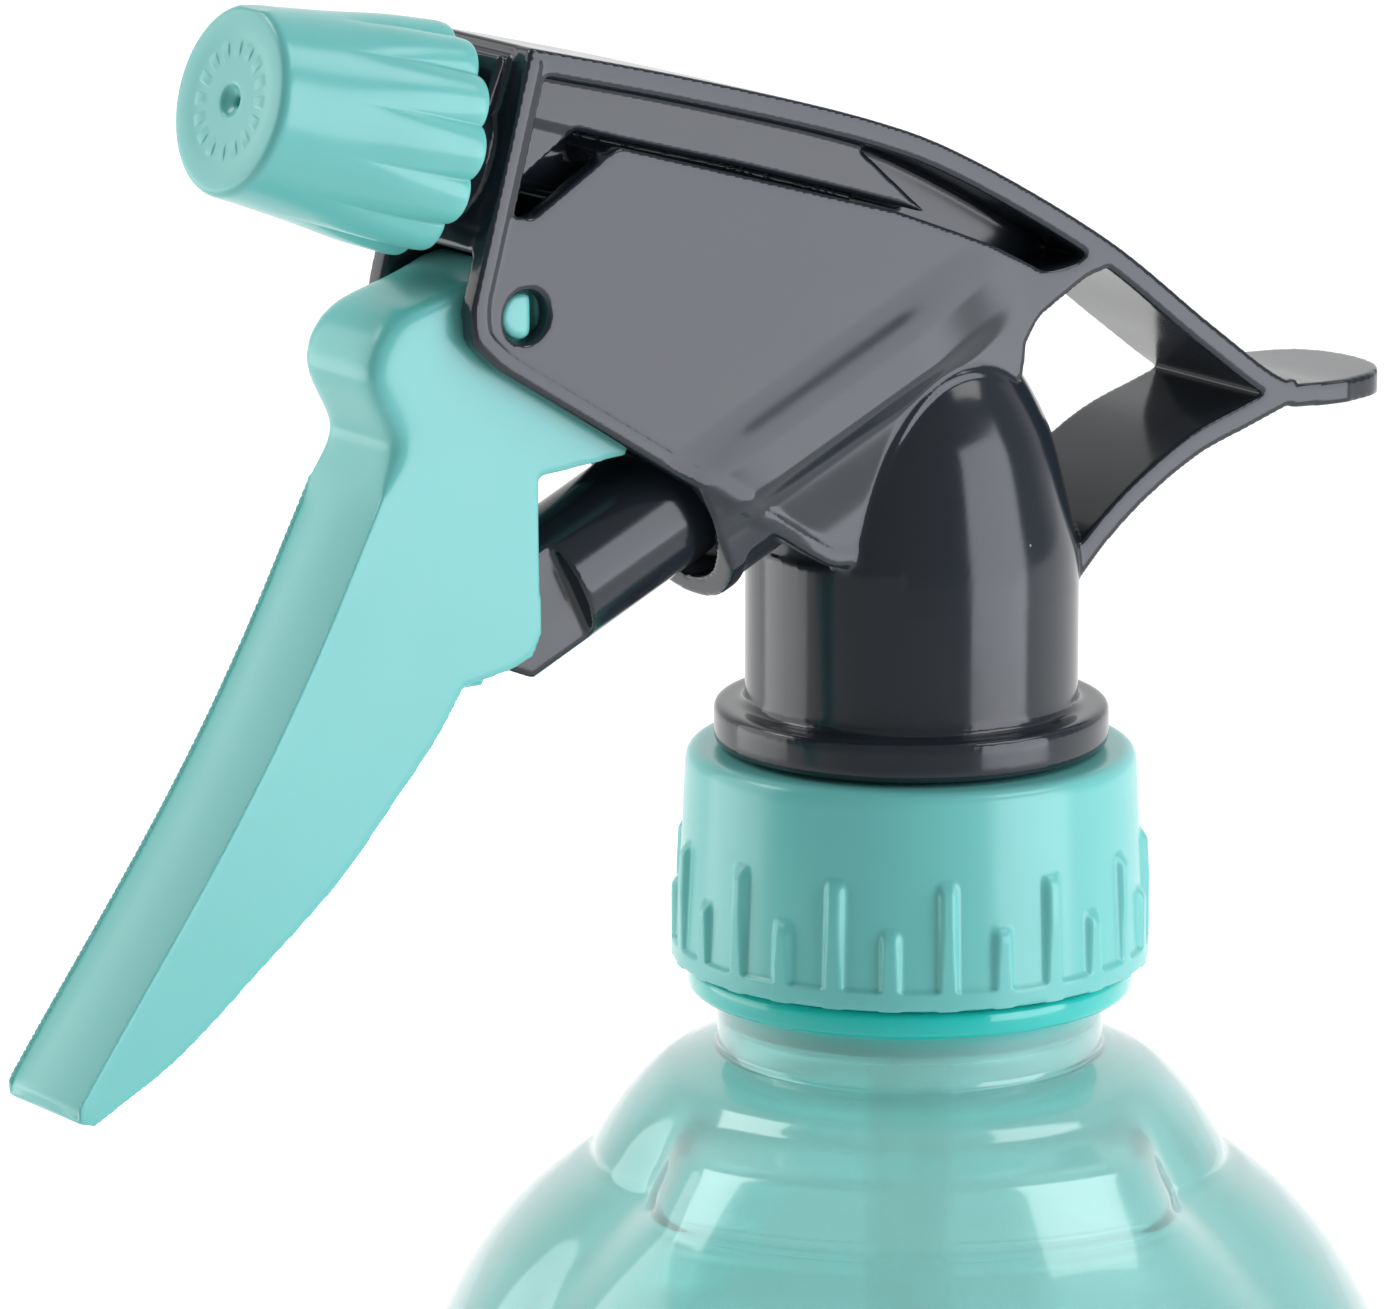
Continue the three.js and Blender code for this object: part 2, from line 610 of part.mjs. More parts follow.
// Lifts a turned surface into lobes that fade out towards the front.
function flute(geometry) {
  const position = geometry.attributes.position;
  for (let i = 0; i < position.count; i += 1) {
    const x = position.getX(i);
    const y = position.getY(i);
    const along = (position.getZ(i) - CAP_REAR) / (CAP_FRONT - CAP_REAR);
    const radius = Math.hypot(x, y);
    const lift = CAP_LOBE_HEIGHT * Math.max(0, 1 - along * 1.25) * Math.cos(CAP_LOBES * Math.atan2(y, x));
    const scale = radius > 1 ? (radius + lift) / radius : 1;
    position.setXY(i, x * scale, y * scale);
  }
  return geometry;
}

function nozzleCap() {
  const outside = turned([
    [0, CAP_REAR], [CAP_REAR_R - 0.5, CAP_REAR], [CAP_REAR_R, CAP_REAR + 0.6], [8.1, 8], [7.5, 12.5],
    [CAP_FRONT_R + 0.15, 17.6], [CAP_FRONT_R - 0.2, 18.9], [CAP_FRONT_R - 0.9, CAP_FRONT],
    [CAP_DISH_R, CAP_FRONT], [CAP_DISH_R - 0.4, CAP_FRONT - CAP_DISH], [0, CAP_FRONT - CAP_DISH],
  ], CAP_LOBES * 4);
  const behindFace = CAP_FRONT - CAP_FACE;
  const bore = turned([
    [0, CAP_REAR - 1], [CAP_BORE_R, CAP_REAR - 1], [CAP_BORE_R, 11], [6.65, 11], [6.65, 13], [CAP_BORE_R, 13],
    [5.9, 15.4], [5.8, 16.6], [3.6, behindFace], [0, behindFace],
  ], PUMP_ROUND);
  const orifice = turned(rodProfile(0.4, behindFace - 1, CAP_FRONT + 1), 8);
  const ridge = winding(SPIGOT_THREAD_R + 0.6, 5, NOZZLE_LEAD, 1.5, 0.45, 5, 14);
  return geometryOf(joined(without(solid(flute(outside)), solid(bore), solid(orifice)), solid(ridge)));
}

function capRingProfile(sides) {
  const profile = [];
  for (let i = 0; i <= sides; i += 1) {
    const angle = (2 * Math.PI * (i % sides)) / sides;
    const across = CAP_RING_SECTION * Math.cos(angle);
    const along = CAP_RING_SECTION * Math.sin(angle);
    profile.push([CAP_RING_R + across, CAP_RING_AT + along]);
  }
  return profile;
}

function swirlCore() {
  const coreR = SPIGOT_BORE_R - GAP;
  const core = solid(turned([
    [0, CORE_REAR], [2.2, CORE_REAR], [coreR, CORE_REAR + 0.8], [coreR, CORE_FRONT - 0.4], [2.2, CORE_FRONT],
    [0, CORE_FRONT],
  ], SMALL_ROUND));
  const slots = [];
  for (let i = 0; i < 3; i += 1) {
    const slot = new THREE.BoxGeometry(1.6, 0.7, 9);
    slot.translate(coreR, 0, (CORE_REAR + CORE_FRONT) / 2);
    slot.rotateZ((2 * Math.PI * i) / 3);
    slots.push(solid(slot));
  }
  return geometryOf(without(core, ...slots));
}

function ball(radius) {
  return new THREE.SphereGeometry(radius, 14, 8);
}

// ---------- the assembly ----------
piece(head, 'bottle', bottle(), CLEAR_AQUA, 0.1);
piece(head, 'collar', collar(), AQUA, 0.35);
piece(head, 'neck_gasket', neckGasket(), WHITE_PLASTIC, 0.6);
piece(head, 'valve_seat', valveSeat(), WHITE_PLASTIC, 0.4);
piece(head, 'dip_tube', dipTube(), WHITE_PLASTIC, 0.3);
piece(head, 'inlet_ball', ball(INLET_BALL_R).translate(0, 0, SEAT_PLANE + 1.6), STEEL, 0.15, 1);
piece(head, 'spray_body', sprayBody(), SLATE, 0.4);
piece(head, 'trigger', trigger(), AQUA, 0.35);
piece(head, 'piston', piston(), SLATE, 0.45);
piece(head, 'piston_cup', sealRing(4.6 + GAP, 6.5, 8.7), WHITE_PLASTIC, 0.5);
piece(head, 'vent_seal', sealRing(4.4 + GAP, 1.9, 3.1), BLACK_RUBBER, 0.5);
piece(head, 'return_spring', onPump(winding(3, -3.2, 3.2, 7.9, 0.4, 5, 10)), STEEL, 0.25, 1);
piece(head, 'outlet_ball', onNozzle(ball(OUTLET_BALL_R).translate(0, 0, OUTLET_BALL_AT)), STEEL, 0.15, 1);
piece(head, 'outlet_spring', onNozzle(winding(1.9, 5.2, 1.2, 4, 0.2, 4, 10)), STEEL, 0.25, 1);
piece(head, 'swirl_core', onNozzle(swirlCore()), WHITE_PLASTIC, 0.4);
piece(head, 'nozzle_oring', onNozzle(turned(capRingProfile(6), PUMP_ROUND)), BLACK_RUBBER, 0.6);
piece(head, 'nozzle_cap', onNozzle(nozzleCap()), AQUA, 0.35);

export default mister;
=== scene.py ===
"""Looks of the hand mister: moulded spray head, finger lever, ribbed collar, nozzle and clear quilted bottle.

Shapes are worked out in millimetres in the head's own frame, whose origin is where the collar meets the head.
place() turns them into the frame's metres. +Z is up and the nozzle points towards -X.
"""

import json
import math

import bmesh
import bpy
import numpy as np
from mathutils import Matrix, Vector


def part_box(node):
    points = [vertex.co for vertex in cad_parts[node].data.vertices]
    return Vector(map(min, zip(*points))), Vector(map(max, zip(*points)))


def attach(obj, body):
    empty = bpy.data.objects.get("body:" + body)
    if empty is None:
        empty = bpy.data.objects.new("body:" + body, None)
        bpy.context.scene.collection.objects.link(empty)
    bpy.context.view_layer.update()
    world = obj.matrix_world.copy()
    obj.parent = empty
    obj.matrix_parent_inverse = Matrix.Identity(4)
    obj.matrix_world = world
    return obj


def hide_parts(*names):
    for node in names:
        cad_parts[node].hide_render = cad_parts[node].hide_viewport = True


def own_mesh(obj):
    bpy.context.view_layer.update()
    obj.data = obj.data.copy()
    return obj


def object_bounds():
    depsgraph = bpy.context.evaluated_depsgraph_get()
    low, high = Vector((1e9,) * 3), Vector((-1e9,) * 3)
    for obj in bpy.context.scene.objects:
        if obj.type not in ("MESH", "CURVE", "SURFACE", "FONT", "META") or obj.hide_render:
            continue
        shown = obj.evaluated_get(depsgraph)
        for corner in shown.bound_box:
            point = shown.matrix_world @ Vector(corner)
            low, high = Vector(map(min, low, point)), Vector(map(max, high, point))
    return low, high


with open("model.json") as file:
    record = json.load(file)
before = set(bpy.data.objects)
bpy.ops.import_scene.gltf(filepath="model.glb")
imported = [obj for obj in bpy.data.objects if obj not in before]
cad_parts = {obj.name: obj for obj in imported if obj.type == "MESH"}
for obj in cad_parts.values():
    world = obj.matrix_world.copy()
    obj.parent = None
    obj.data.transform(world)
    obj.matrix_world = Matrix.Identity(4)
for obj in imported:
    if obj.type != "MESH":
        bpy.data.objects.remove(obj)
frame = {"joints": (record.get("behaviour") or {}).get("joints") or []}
CAD_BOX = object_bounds()

# ---------- places taken from the frame ----------
MM = 0.001
GAP = 0.3
joints = {joint["name"]: joint for joint in frame["joints"]}
SEAT_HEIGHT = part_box("collar")[1].z / MM + GAP
BASE = -SEAT_HEIGHT


def joint_place(name):
    x, y, z = joints[name]["pos_m"]
    return np.array([x / MM, y / MM, z / MM - SEAT_HEIGHT])


def joint_axis(name):
    axis = np.array(joints[name]["axis"], float)
    return axis / np.linalg.norm(axis)


PIVOT = joint_place("trigger_pull")
NOZZLE_FACE = joint_place("nozzle_turn")
NOZZLE_AXIS = joint_axis("cap_advance")
PUMP_AXIS = joint_axis("piston_stroke")
PUMP_MOUTH = np.array([-23.0, 0.0, 20.6])
UP = np.array([0.0, 0.0, 1.0])

# ---------- sizes, in millimetres ----------
BODY_HALF = 6.7
PLATE_INNER = 5.1
WEB_HALF = 4.6
BARREL_R = 12.35
BARREL_BORE_R = 9.5
SKIRT_R = 10.9
FLANGE_R = 14.65
FLANGE_HEIGHT = 3.0
FEED_TUBE_R = 4.8
STRAP_THICKNESS = 1.8
TAIL_TIP = 41.8
PUMP_R = 7.7
SWELL = 1.12
PUMP_LIP_R = 8.05
PUMP_BORE_R = 6.3
PUMP_LENGTH = 24.4
ROD_R = 5.0
ROD_FLAT = 3.1
FLAT_START = -10.6
ROD_END = -17.3
TUBE_R = 3
TUBE_BORE_R = 2.1
SWIRL_SLOTS = 3
PIVOT_HOLE_R = 1.95
TRIGGER_HALF = 4.8
TRIGGER_INNER = 3.4
SPIGOT_R = 5.2
SPIGOT_LENGTH = 15.2
SPIGOT_THREAD_R = 5.75
CAP_REAR = 2.8
CAP_FRONT = 19.4
THREAD_LEAD = 4.233
THREAD_TURNS = 1.4
SAME = 0.001
SHARP = 40  # edges of inner pieces sharper than this, in degrees, stay crisp
NOZZLE_LEAD = 2.0
RING_TOP = -16.8
RING_BOTTOM = -18.9


# ---------- shapes: (vertices, faces) in millimetres ----------
def lofted(rows, closed=False):
    """Joins rows of points, each row a closed ring of the same length. The ends are capped unless closed."""
    rows = np.asarray(rows, float)
    count, size = rows.shape[:2]
    faces = []
    for i in range(count if closed else count - 1):
        low, high = i * size, ((i + 1) % count) * size
        for j in range(size):
            k = (j + 1) % size
            faces.append((low + j, low + k, high + k, high + j))
    if not closed:
        faces.append(tuple(range(size - 1, -1, -1)))
        faces.append(tuple(range((count - 1) * size, count * size)))
    return rows.reshape(-1, 3), faces


def turned(profile, segments=128):
    """Turns (radius, height) points about +Z. They start and end on the axis, or close on themselves."""
    profile = np.asarray(profile, float)
    on_axis = profile[0][0] < 1e-6 and profile[-1][0] < 1e-6
    angles = np.linspace(0, 2 * np.pi, segments, endpoint=False)
    body = profile[1:-1] if on_axis else profile[:-1]
    rings = [
        np.stack([r * np.cos(angles), r * np.sin(angles), np.full(segments, z)], axis=1)
        for r, z in body
    ]
    if on_axis:
        return lofted(rings)
    return lofted(rings, closed=True)


def slab(outline, y0, y1):
    """An outline of (x, z) points spread from y0 to y1."""
    ring = np.asarray(outline, float)
    rows = [np.stack([ring[:, 0], np.full(len(ring), y), ring[:, 1]], axis=1) for y in (y0, y1)]
    return lofted(rows)


def centred_slab(outline, half):
    return slab(outline, -half, half)


def aimed(shape, place, axis):
    """Turns a shape made about +Z onto an axis in the XZ plane."""
    turn = np.array(Vector(UP).rotation_difference(Vector(axis)).to_matrix())
    points, faces = shape
    return points @ turn.T + place, faces


def on_pump(shape):
    return aimed(shape, PUMP_MOUTH, PUMP_AXIS)


def on_nozzle(shape):
    return aimed(shape, NOZZLE_FACE, NOZZLE_AXIS)


def swept(path, radius, sides=12):
    """A round wire along a list of points."""
    path = np.asarray(path, float)
    along = np.gradient(path, axis=0)
    along /= np.linalg.norm(along, axis=1)[:, None]
    side = np.cross(along, UP)
    side /= np.linalg.norm(side, axis=1)[:, None]
    up = np.cross(side, along)
    rows = []
    for centre, s, u in zip(path, side, up):
        angles = np.linspace(0, 2 * np.pi, sides, endpoint=False)
        rows.append(centre + radius * (np.outer(np.cos(angles), s) + np.outer(np.sin(angles), u)))
    return lofted(rows)


def helix(radius, low, lead, turns, steps_per_turn=36):
    t = np.linspace(0, turns, int(turns * steps_per_turn) + 1)
    return np.stack([radius * np.cos(2 * np.pi * t), radius * np.sin(2 * np.pi * t), low + lead * t], axis=1)


def spline(points, steps):
    """A smooth curve through points, with an even number of steps between each two."""
    points = np.asarray(points, float)
    padded = np.vstack([2 * points[0] - points[1], points, 2 * points[-1] - points[-2]])
    curve = []
    for a, b, c, d in zip(padded, padded[1:], padded[2:], padded[3:]):
        square, cube = 2 * a - 5 * b + 4 * c - d, 3 * b - a - 3 * c + d
        for t in np.linspace(0, 1, steps, endpoint=False):
            curve.append(0.5 * (2 * b + (c - a) * t + square * t**2 + cube * t**3))
    curve.append(points[-1])
    return np.array(curve)


def ribbon(spine, thickness, steps=12):
    """A strip of even thickness along a smooth curve of (x, z) points, as an outline."""
    curve = spline(spine, steps)
    along = np.gradient(curve, axis=0)
    along /= np.linalg.norm(along, axis=1)[:, None]
    across = np.stack([-along[:, 1], along[:, 0]], axis=1) * thickness / 2
    return np.vstack([curve + across, (curve - across)[::-1]])


def rounded(outline, radius, steps=5, closed=True):
    """Rounds each corner of an outline. A corner's radius is cut down where its sides are short."""
    outline = np.asarray(outline, float)
    result = []
    for i, corner in enumerate(outline):
        if not closed and i in (0, len(outline) - 1):
            result.append(corner)
            continue
        before, after = outline[i - 1] - corner, outline[(i + 1) % len(outline)] - corner
        reach = min(radius, 0.45 * np.linalg.norm(before), 0.45 * np.linalg.norm(after))
        start = corner + before / np.linalg.norm(before) * reach
        end = corner + after / np.linalg.norm(after) * reach
        for t in np.linspace(0, 1, steps + 1):
            result.append((1 - t) ** 2 * start + 2 * t * (1 - t) * corner + t**2 * end)
    return np.array(result)


def circle(centre, radius, sides=48):
    angles = np.linspace(0, 2 * np.pi, sides, endpoint=False)
    return np.stack([centre[0] + radius * np.cos(angles), centre[1] + radius * np.sin(angles)], axis=1)


def rod(radius, low, high):
    return turned([[0, low], [radius, low], [radius, high], [0, high]], 96)


# ---------- turning shapes into Blender objects ----------
def place(points):
    """Points in the frame's metres."""
    points = np.asarray(points, float).copy()
    points[:, 2] += SEAT_HEIGHT
    return points * MM


def linked(name, data):
    thing = bpy.data.objects.new(name, data)
    bpy.context.scene.collection.objects.link(thing)
    return thing


def mesh_object(name, shape):
    points, faces = shape
    mesh = bpy.data.meshes.new(name)
    mesh.from_pydata(place(points).tolist(), [], faces)
    mesh.validate()
    piece = linked(name, mesh)
    face_outwards(piece)
    return piece


def face_outwards(piece):
    work = bmesh.new()
    work.from_mesh(piece.data)
    bmesh.ops.recalc_face_normals(work, faces=work.faces)
    work.to_mesh(piece.data)
    work.free()


def settle(piece):
    """Applies an object's modifiers to its mesh."""
    graph = bpy.context.evaluated_depsgraph_get()
    final = bpy.data.meshes.new_from_object(piece.evaluated_get(graph))
    old = piece.data
    piece.modifiers.clear()
    piece.data = final
    bpy.data.meshes.remove(old)
    return piece


def carve(piece, steps):
    """Joins, cuts or trims a solid with others: steps is a list of (operation, shape)."""
    for operation, shape in steps:
        tool = mesh_object("tool", shape)
        boolean = piece.modifiers.new("boolean", "BOOLEAN")
        boolean.operation = operation
        boolean.solver = "MANIFOLD"
        boolean.object = tool
        settle(piece)
        bpy.data.objects.remove(tool)
    return piece


def mould(piece, voxel, rounds):
    """Remeshes a solid finely and softens its edges, as a moulding's are."""
    remesh = piece.modifiers.new("remesh", "REMESH")
    remesh.mode = "VOXEL"
    remesh.voxel_size = voxel * MM
    smooth = piece.modifiers.new("smooth", "SMOOTH")
    smooth.factor = 0.5
    smooth.iterations = rounds
    return settle(piece)


def read_points(piece, attribute="co"):
    """A mesh's points, or another attribute of them with three numbers, one row for each."""
    values = np.empty(len(piece.data.vertices) * 3, np.float32)
    piece.data.vertices.foreach_get(attribute, values)
    return values.reshape(-1, 3)


def write_points(piece, points):
    piece.data.vertices.foreach_set("co", points.ravel())
    piece.data.update()


def keep_inside(piece):
    """Holds a piece's points within the CAD model's box."""
    write_points(piece, np.clip(read_points(piece), CAD_BOX[0], CAD_BOX[1]))


def dress(piece, body, node, material, sharp=None):
    """Gives a finished piece its material, sets what it rides on, and hides the CAD part it replaces."""
    keep_inside(piece)
    piece.data.name = piece.name
    piece.data.materials.clear()
    piece.data.materials.append(material)
    for polygon in piece.data.polygons:
        polygon.use_smooth = True
    if sharp is not None:
        piece.data.set_sharp_from_angle(angle=math.radians(sharp))
    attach(piece, body)
    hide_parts(node)


# ---------- materials ----------
FLOW_SCALE = 45  # these scales are waves or cells to the metre
WAVE_SCALE = 55
CLOUD_SCALE = 60
TONE_SCALE = 120
SHEEN_SCALE = 260
SATIN_SCALE = 300
DUST_SCALE = 480
GRAIN_SCALE = 500
SKIN_SCALE = 700
PEEL_SCALE = 900
WIRE_SCALE = 1500
RUBBER_SCALE = 2500
NOISE_LOW, NOISE_HIGH = 0.3, 0.7  # what a noise texture mostly stays between
DUST_SIZE = 0.055
RING_FADE = 2.5


def nodes_of(name):
    material = bpy.data.materials.new(name)
    material.use_nodes = True
    tree = material.node_tree
    return material, tree, tree.nodes["Principled BSDF"]


def noise(tree, scale, detail=3.0):
    texture = tree.nodes.new("ShaderNodeTexNoise")
    texture.inputs["Scale"].default_value = scale
    texture.inputs["Detail"].default_value = detail
    tree.links.new(coordinates(tree), texture.inputs["Vector"])
    return texture.outputs["Fac"]


def coordinates(tree):
    return tree.nodes.new("ShaderNodeTexCoord").outputs["Object"]


def mapped(tree, source, low, high, start=0.0, end=1.0, interpolation="LINEAR"):
    """Maps a value that runs from start to end onto low to high."""
    node = tree.nodes.new("ShaderNodeMapRange")
    node.interpolation_type = interpolation
    node.inputs["From Min"].default_value = start
    node.inputs["From Max"].default_value = end
    node.inputs["To Min"].default_value = low
    node.inputs["To Max"].default_value = high
    tree.links.new(source, node.inputs["Value"])
    return node.outputs["Result"]


def stretched(tree, source, low, high):
    """Maps a noise onto low to high."""
    return mapped(tree, source, low, high, NOISE_LOW, NOISE_HIGH)


def maths(tree, operation, first, second):
    """A sum on a node's output. second is a number or another output."""
    node = tree.nodes.new("ShaderNodeMath")
    node.operation = operation
    tree.links.new(first, node.inputs[0])
    if isinstance(second, float):
        node.inputs[1].default_value = second
    else:
        tree.links.new(second, node.inputs[1])
    return node.outputs[0]


def mixed(tree, factor, first, second):
    node = tree.nodes.new("ShaderNodeMix")
    node.data_type = "RGBA"
    tree.links.new(factor, node.inputs["Factor"])
    for socket, value in ((node.inputs["A"], first), (node.inputs["B"], second)):
        if isinstance(value, tuple):
            socket.default_value = (*value, 1)
        else:
            tree.links.new(value, socket)
    return node.outputs["Result"]


def specks(tree, share):
    """A mask of small round dots of dust. share is how many cells hold one."""
    cells = tree.nodes.new("ShaderNodeTexVoronoi")
    cells.inputs["Scale"].default_value = DUST_SCALE
    tree.links.new(coordinates(tree), cells.inputs["Vector"])
    split = tree.nodes.new("ShaderNodeSeparateColor")
    tree.links.new(cells.outputs["Color"], split.inputs["Color"])
    near = maths(tree, "LESS_THAN", cells.outputs["Distance"], DUST_SIZE)
    chosen = maths(tree, "LESS_THAN", split.outputs["Red"], share)
    return maths(tree, "MULTIPLY", near, chosen)


def bumped(tree, shader, height, strength, distance):
    bump = tree.nodes.new("ShaderNodeBump")
    bump.inputs["Strength"].default_value = strength
    bump.inputs["Distance"].default_value = distance * MM
    tree.links.new(height, bump.inputs["Height"])
    tree.links.new(bump.outputs["Normal"], shader.inputs["Normal"])


def moulded_plastic(name, colour, deeper, gloss, dust, dust_share, scatter=0.0):
    """Semi-gloss moulded plastic with flow variation, a faint orange peel and a little dust."""
    material, tree, shader = nodes_of(name)
    flow = stretched(tree, noise(tree, FLOW_SCALE, 2.0), 0, 1)
    base = mixed(tree, flow, colour, deeper)
    tree.links.new(mixed(tree, specks(tree, dust_share), base, dust), shader.inputs["Base Color"])
    roughened(tree, shader, SHEEN_SCALE, *gloss)
    bumped(tree, shader, noise(tree, PEEL_SCALE), 0.03, 0.05)
    shader.inputs["Specular IOR Level"].default_value = 0.56
    if scatter:
        shader.inputs["Subsurface Weight"].default_value = scatter
        shader.inputs["Subsurface Radius"].default_value = (0.4, 1.0, 0.9)
        shader.inputs["Subsurface Scale"].default_value = 1.5 * MM
    return material


def clear_plastic(name, thin, thick, tint, density):
    """Clear plastic, tinted through its depth. thin colours its walls, and thick the solid ring."""
    material, tree, shader = nodes_of(name)
    ring = thick_ring(tree)
    tree.links.new(mixed(tree, ring, thin, thick), shader.inputs["Base Color"])
    tree.links.new(mapped(tree, ring, 0.76, 0.3), shader.inputs["Transmission Weight"])
    shader.inputs["IOR"].default_value = 1.5
    shader.inputs["Coat Weight"].default_value = 0.7
    shader.inputs["Specular IOR Level"].default_value = 0.35
    shader.inputs["Coat Roughness"].default_value = 0.05
    roughened(tree, shader, CLOUD_SCALE, 0.12, 0.2)
    bumped(tree, shader, noise(tree, WAVE_SCALE, 1.0), 0.25, 0.35)
    depth = tree.nodes.new("ShaderNodeVolumeAbsorption")
    depth.inputs["Color"].default_value = (*tint, 1)
    depth.inputs["Density"].default_value = density
    tree.links.new(depth.outputs["Volume"], tree.nodes["Material Output"].inputs["Volume"])
    return material


def thick_ring(tree):
    """1 in the solid support ring under the collar, fading to 0 down the neck."""
    split = tree.nodes.new("ShaderNodeSeparateXYZ")
    tree.links.new(coordinates(tree), split.inputs["Vector"])
    bottom = (SEAT_HEIGHT + RING_BOTTOM) * MM
    return mapped(tree, split.outputs["Z"], 0.0, 1.0, bottom - RING_FADE * MM, bottom)


def roughened(tree, shader, scale, low, high):
    tree.links.new(stretched(tree, noise(tree, scale), low, high), shader.inputs["Roughness"])


def toned(tree, shader, scale, colour, deeper):
    """Colours a shader in soft patches between two tones."""
    tone = stretched(tree, noise(tree, scale), 0, 1)
    tree.links.new(mixed(tree, tone, colour, deeper), shader.inputs["Base Color"])


def natural_plastic(name, colour, transmission, ior=1.5):
    """Milky or clear plastic with no pigment."""
    material, tree, shader = nodes_of(name)
    toned(tree, shader, TONE_SCALE, colour, tuple(0.9 * channel for channel in colour))
    roughened(tree, shader, SATIN_SCALE, 0.28, 0.4)
    shader.inputs["Transmission Weight"].default_value = transmission
    shader.inputs["IOR"].default_value = ior
    bumped(tree, shader, noise(tree, SKIN_SCALE), 0.1, 0.05)
    return material


def rubber(name):
    material, tree, shader = nodes_of(name)
    toned(tree, shader, GRAIN_SCALE, (0.012, 0.012, 0.013), (0.03, 0.03, 0.032))
    roughened(tree, shader, PEEL_SCALE, 0.5, 0.7)
    bumped(tree, shader, noise(tree, RUBBER_SCALE), 0.2, 0.05)
    return material


def spring_steel(name):
    material, tree, shader = nodes_of(name)
    toned(tree, shader, PEEL_SCALE, (0.62, 0.62, 0.63), (0.45, 0.45, 0.47))
    roughened(tree, shader, WIRE_SCALE, 0.18, 0.34)
    shader.inputs["Metallic"].default_value = 1
    return material


AQUA = moulded_plastic(
    "aqua_plastic", colour=(0.182, 0.615, 0.58), deeper=(0.17, 0.585, 0.55), gloss=(0.2, 0.24),
    dust=(0.06, 0.2, 0.18), dust_share=0.004, scatter=0.15,
)
SLATE = moulded_plastic(
    "slate_plastic", colour=(0.019, 0.025, 0.032), deeper=(0.016, 0.021, 0.028), gloss=(0.13, 0.17),
    dust=(0.3, 0.32, 0.31), dust_share=0.03,
)
CLEAR = clear_plastic(
    "clear_bottle", thin=(0.7, 0.97, 0.95), thick=(0.01, 0.8, 0.72), tint=(0.1, 0.84, 0.8), density=360.0,
)
NATURAL = natural_plastic("natural_plastic", (0.8, 0.82, 0.8), 0.0)
TUBE = natural_plastic("tube_plastic", (0.97, 0.99, 0.98), 1.0, 1.12)
RUBBER = rubber("black_rubber")
STEEL = spring_steel("spring_steel")

# ---------- spray body ----------
# Outlines are in the XZ plane.
PLATE_FRONT = [[-38.3, 56.2], [-43.4, 38], [-43.2, 35.6], [-41, 33.5]]
PLATE_UNDERSIDE = [[-14.1, 16.8], [-12, 15.6], [-8, 15.4]]
PLATE_REAR = [[-2, 24], [5.2, 27.8], [5.4, 30.3], [6.6, 32.1], [8.5, 33.2], [11, 34.6], [13.4, 35.2]]
PLATE_TOP = [[12.2, 37], [10, 35.7], [7.2, 35.4], [2.9, 37.7], [-0.8, 39.2], [-6.2, 41.3], [-30.8, 48.5]]
PLATE_NOTCH = [[-38.1, 44.1], [-39.7, 44.4], [-40.3, 46], [-37.9, 55.4]]
STRAP_SPINE = [
    [-38.4, 55.4], [-24.1, 51.8], [-9.2, 47.5], [0, 43.7], [12.4, 36.5], [22, 29.2], [29, 24.2], [33, 23.3],
    [41.9, 23.3],
]
SPUR_SPINE = [[31, 24], [26, 22.4], [21.2, 20.8], [16.4, 18.1], [12.6, 15.2], [9.8, 12.4]]
WEB = [
    [-39.4, 55.6], [-40.9, 52], [-37.5, 50.9], [-29.5, 48.5], [-19, 45.6], [-9, 42.6], [-2, 40.4], [-9, 46.6],
]
GUSSET = [[-39, 52], [-41.6, 43.8], [-38.5, 45.9], [-33.1, 49.5], [-32.6, 51]]
ROOF = [
    [-32.4, 47], [-9, 39.6], [-3, 33], [3, 33], [7, 33.2], [12.4, 35], [12.4, 35.9], [7.2, 35.2], [2.9, 37.4],
    [-0.8, 38.9], [-6.2, 40.8], [-32.4, 48.3],
]
RIDGE = [[-12, 39], [3, 33.5], [8, 33.5], [13, 34.9], [13, 36], [6.6, 40], [0, 43.4], [-8.8, 47]]
CORNER_FILL = [[29.6, 24.6], [26.6, 22.9], [31.5, 22.6]]
DELIVERY_END = np.array([-1.0, 0.0, 36.8])
TRIGGER_SPACE = [[-46, 42.8], [-34, 42.8], [-26.5, 37], [-26.5, 26], [-30, 20], [-50, 30]]
DOME_START, DOME_TOP, ROOM_TOP = 12, 31.8, 20  # the dome's foot and top, and the top of the barrel's hollow
DOME = [
    [BARREL_R, DOME_START], [12.15, 15], [11.3, 19], [10.4, 22.6], [9.5, 24.9], [8, 27.6], [6.2, 29.6],
    [3.4, 31.2], [0, DOME_TOP],
]
HOLLOW = [[FEED_TUBE_R + 1, 19], [BARREL_BORE_R, 13]]
NEAR_AXIS = 0.02
COLUMN_TOP = 15.2
COLUMN_EDGE = -7.8
POCKET_R = 11.5
POCKET_FACE = 6.75
MOULD_R = 0.6
LIP_WIDTH = 1.1
LIP_PROUD = 0.15
LIP_SUNK = 0.5
GUSSET_HALF = 4.4
RIDGE_HALF = 0.9
PUMP_BORE_END = 22.6
PUMP_PORT_R = 1.4
DELIVERY_TUBE_R = 2.8
DELIVERY_R = 1.3
SPIGOT_BORE_R = 2.9
PLUG_R = 3.3
FEED_R = 1.6


def barrel():
    edge = [
        [SKIRT_R, -2], [SKIRT_R, 0], [FLANGE_R, 0], [FLANGE_R, FLANGE_HEIGHT], [BARREL_R, FLANGE_HEIGHT],
        [BARREL_R, DOME_START],
    ]
    outside = np.vstack([rounded(edge, MOULD_R, closed=False), spline(DOME, 6)[1:-1]])
    inside = [[NEAR_AXIS, ROOM_TOP], *HOLLOW, [BARREL_BORE_R, -2], [SKIRT_R, -2]]
    return turned(np.vstack([outside, [[NEAR_AXIS, DOME_TOP]], inside]), 160)


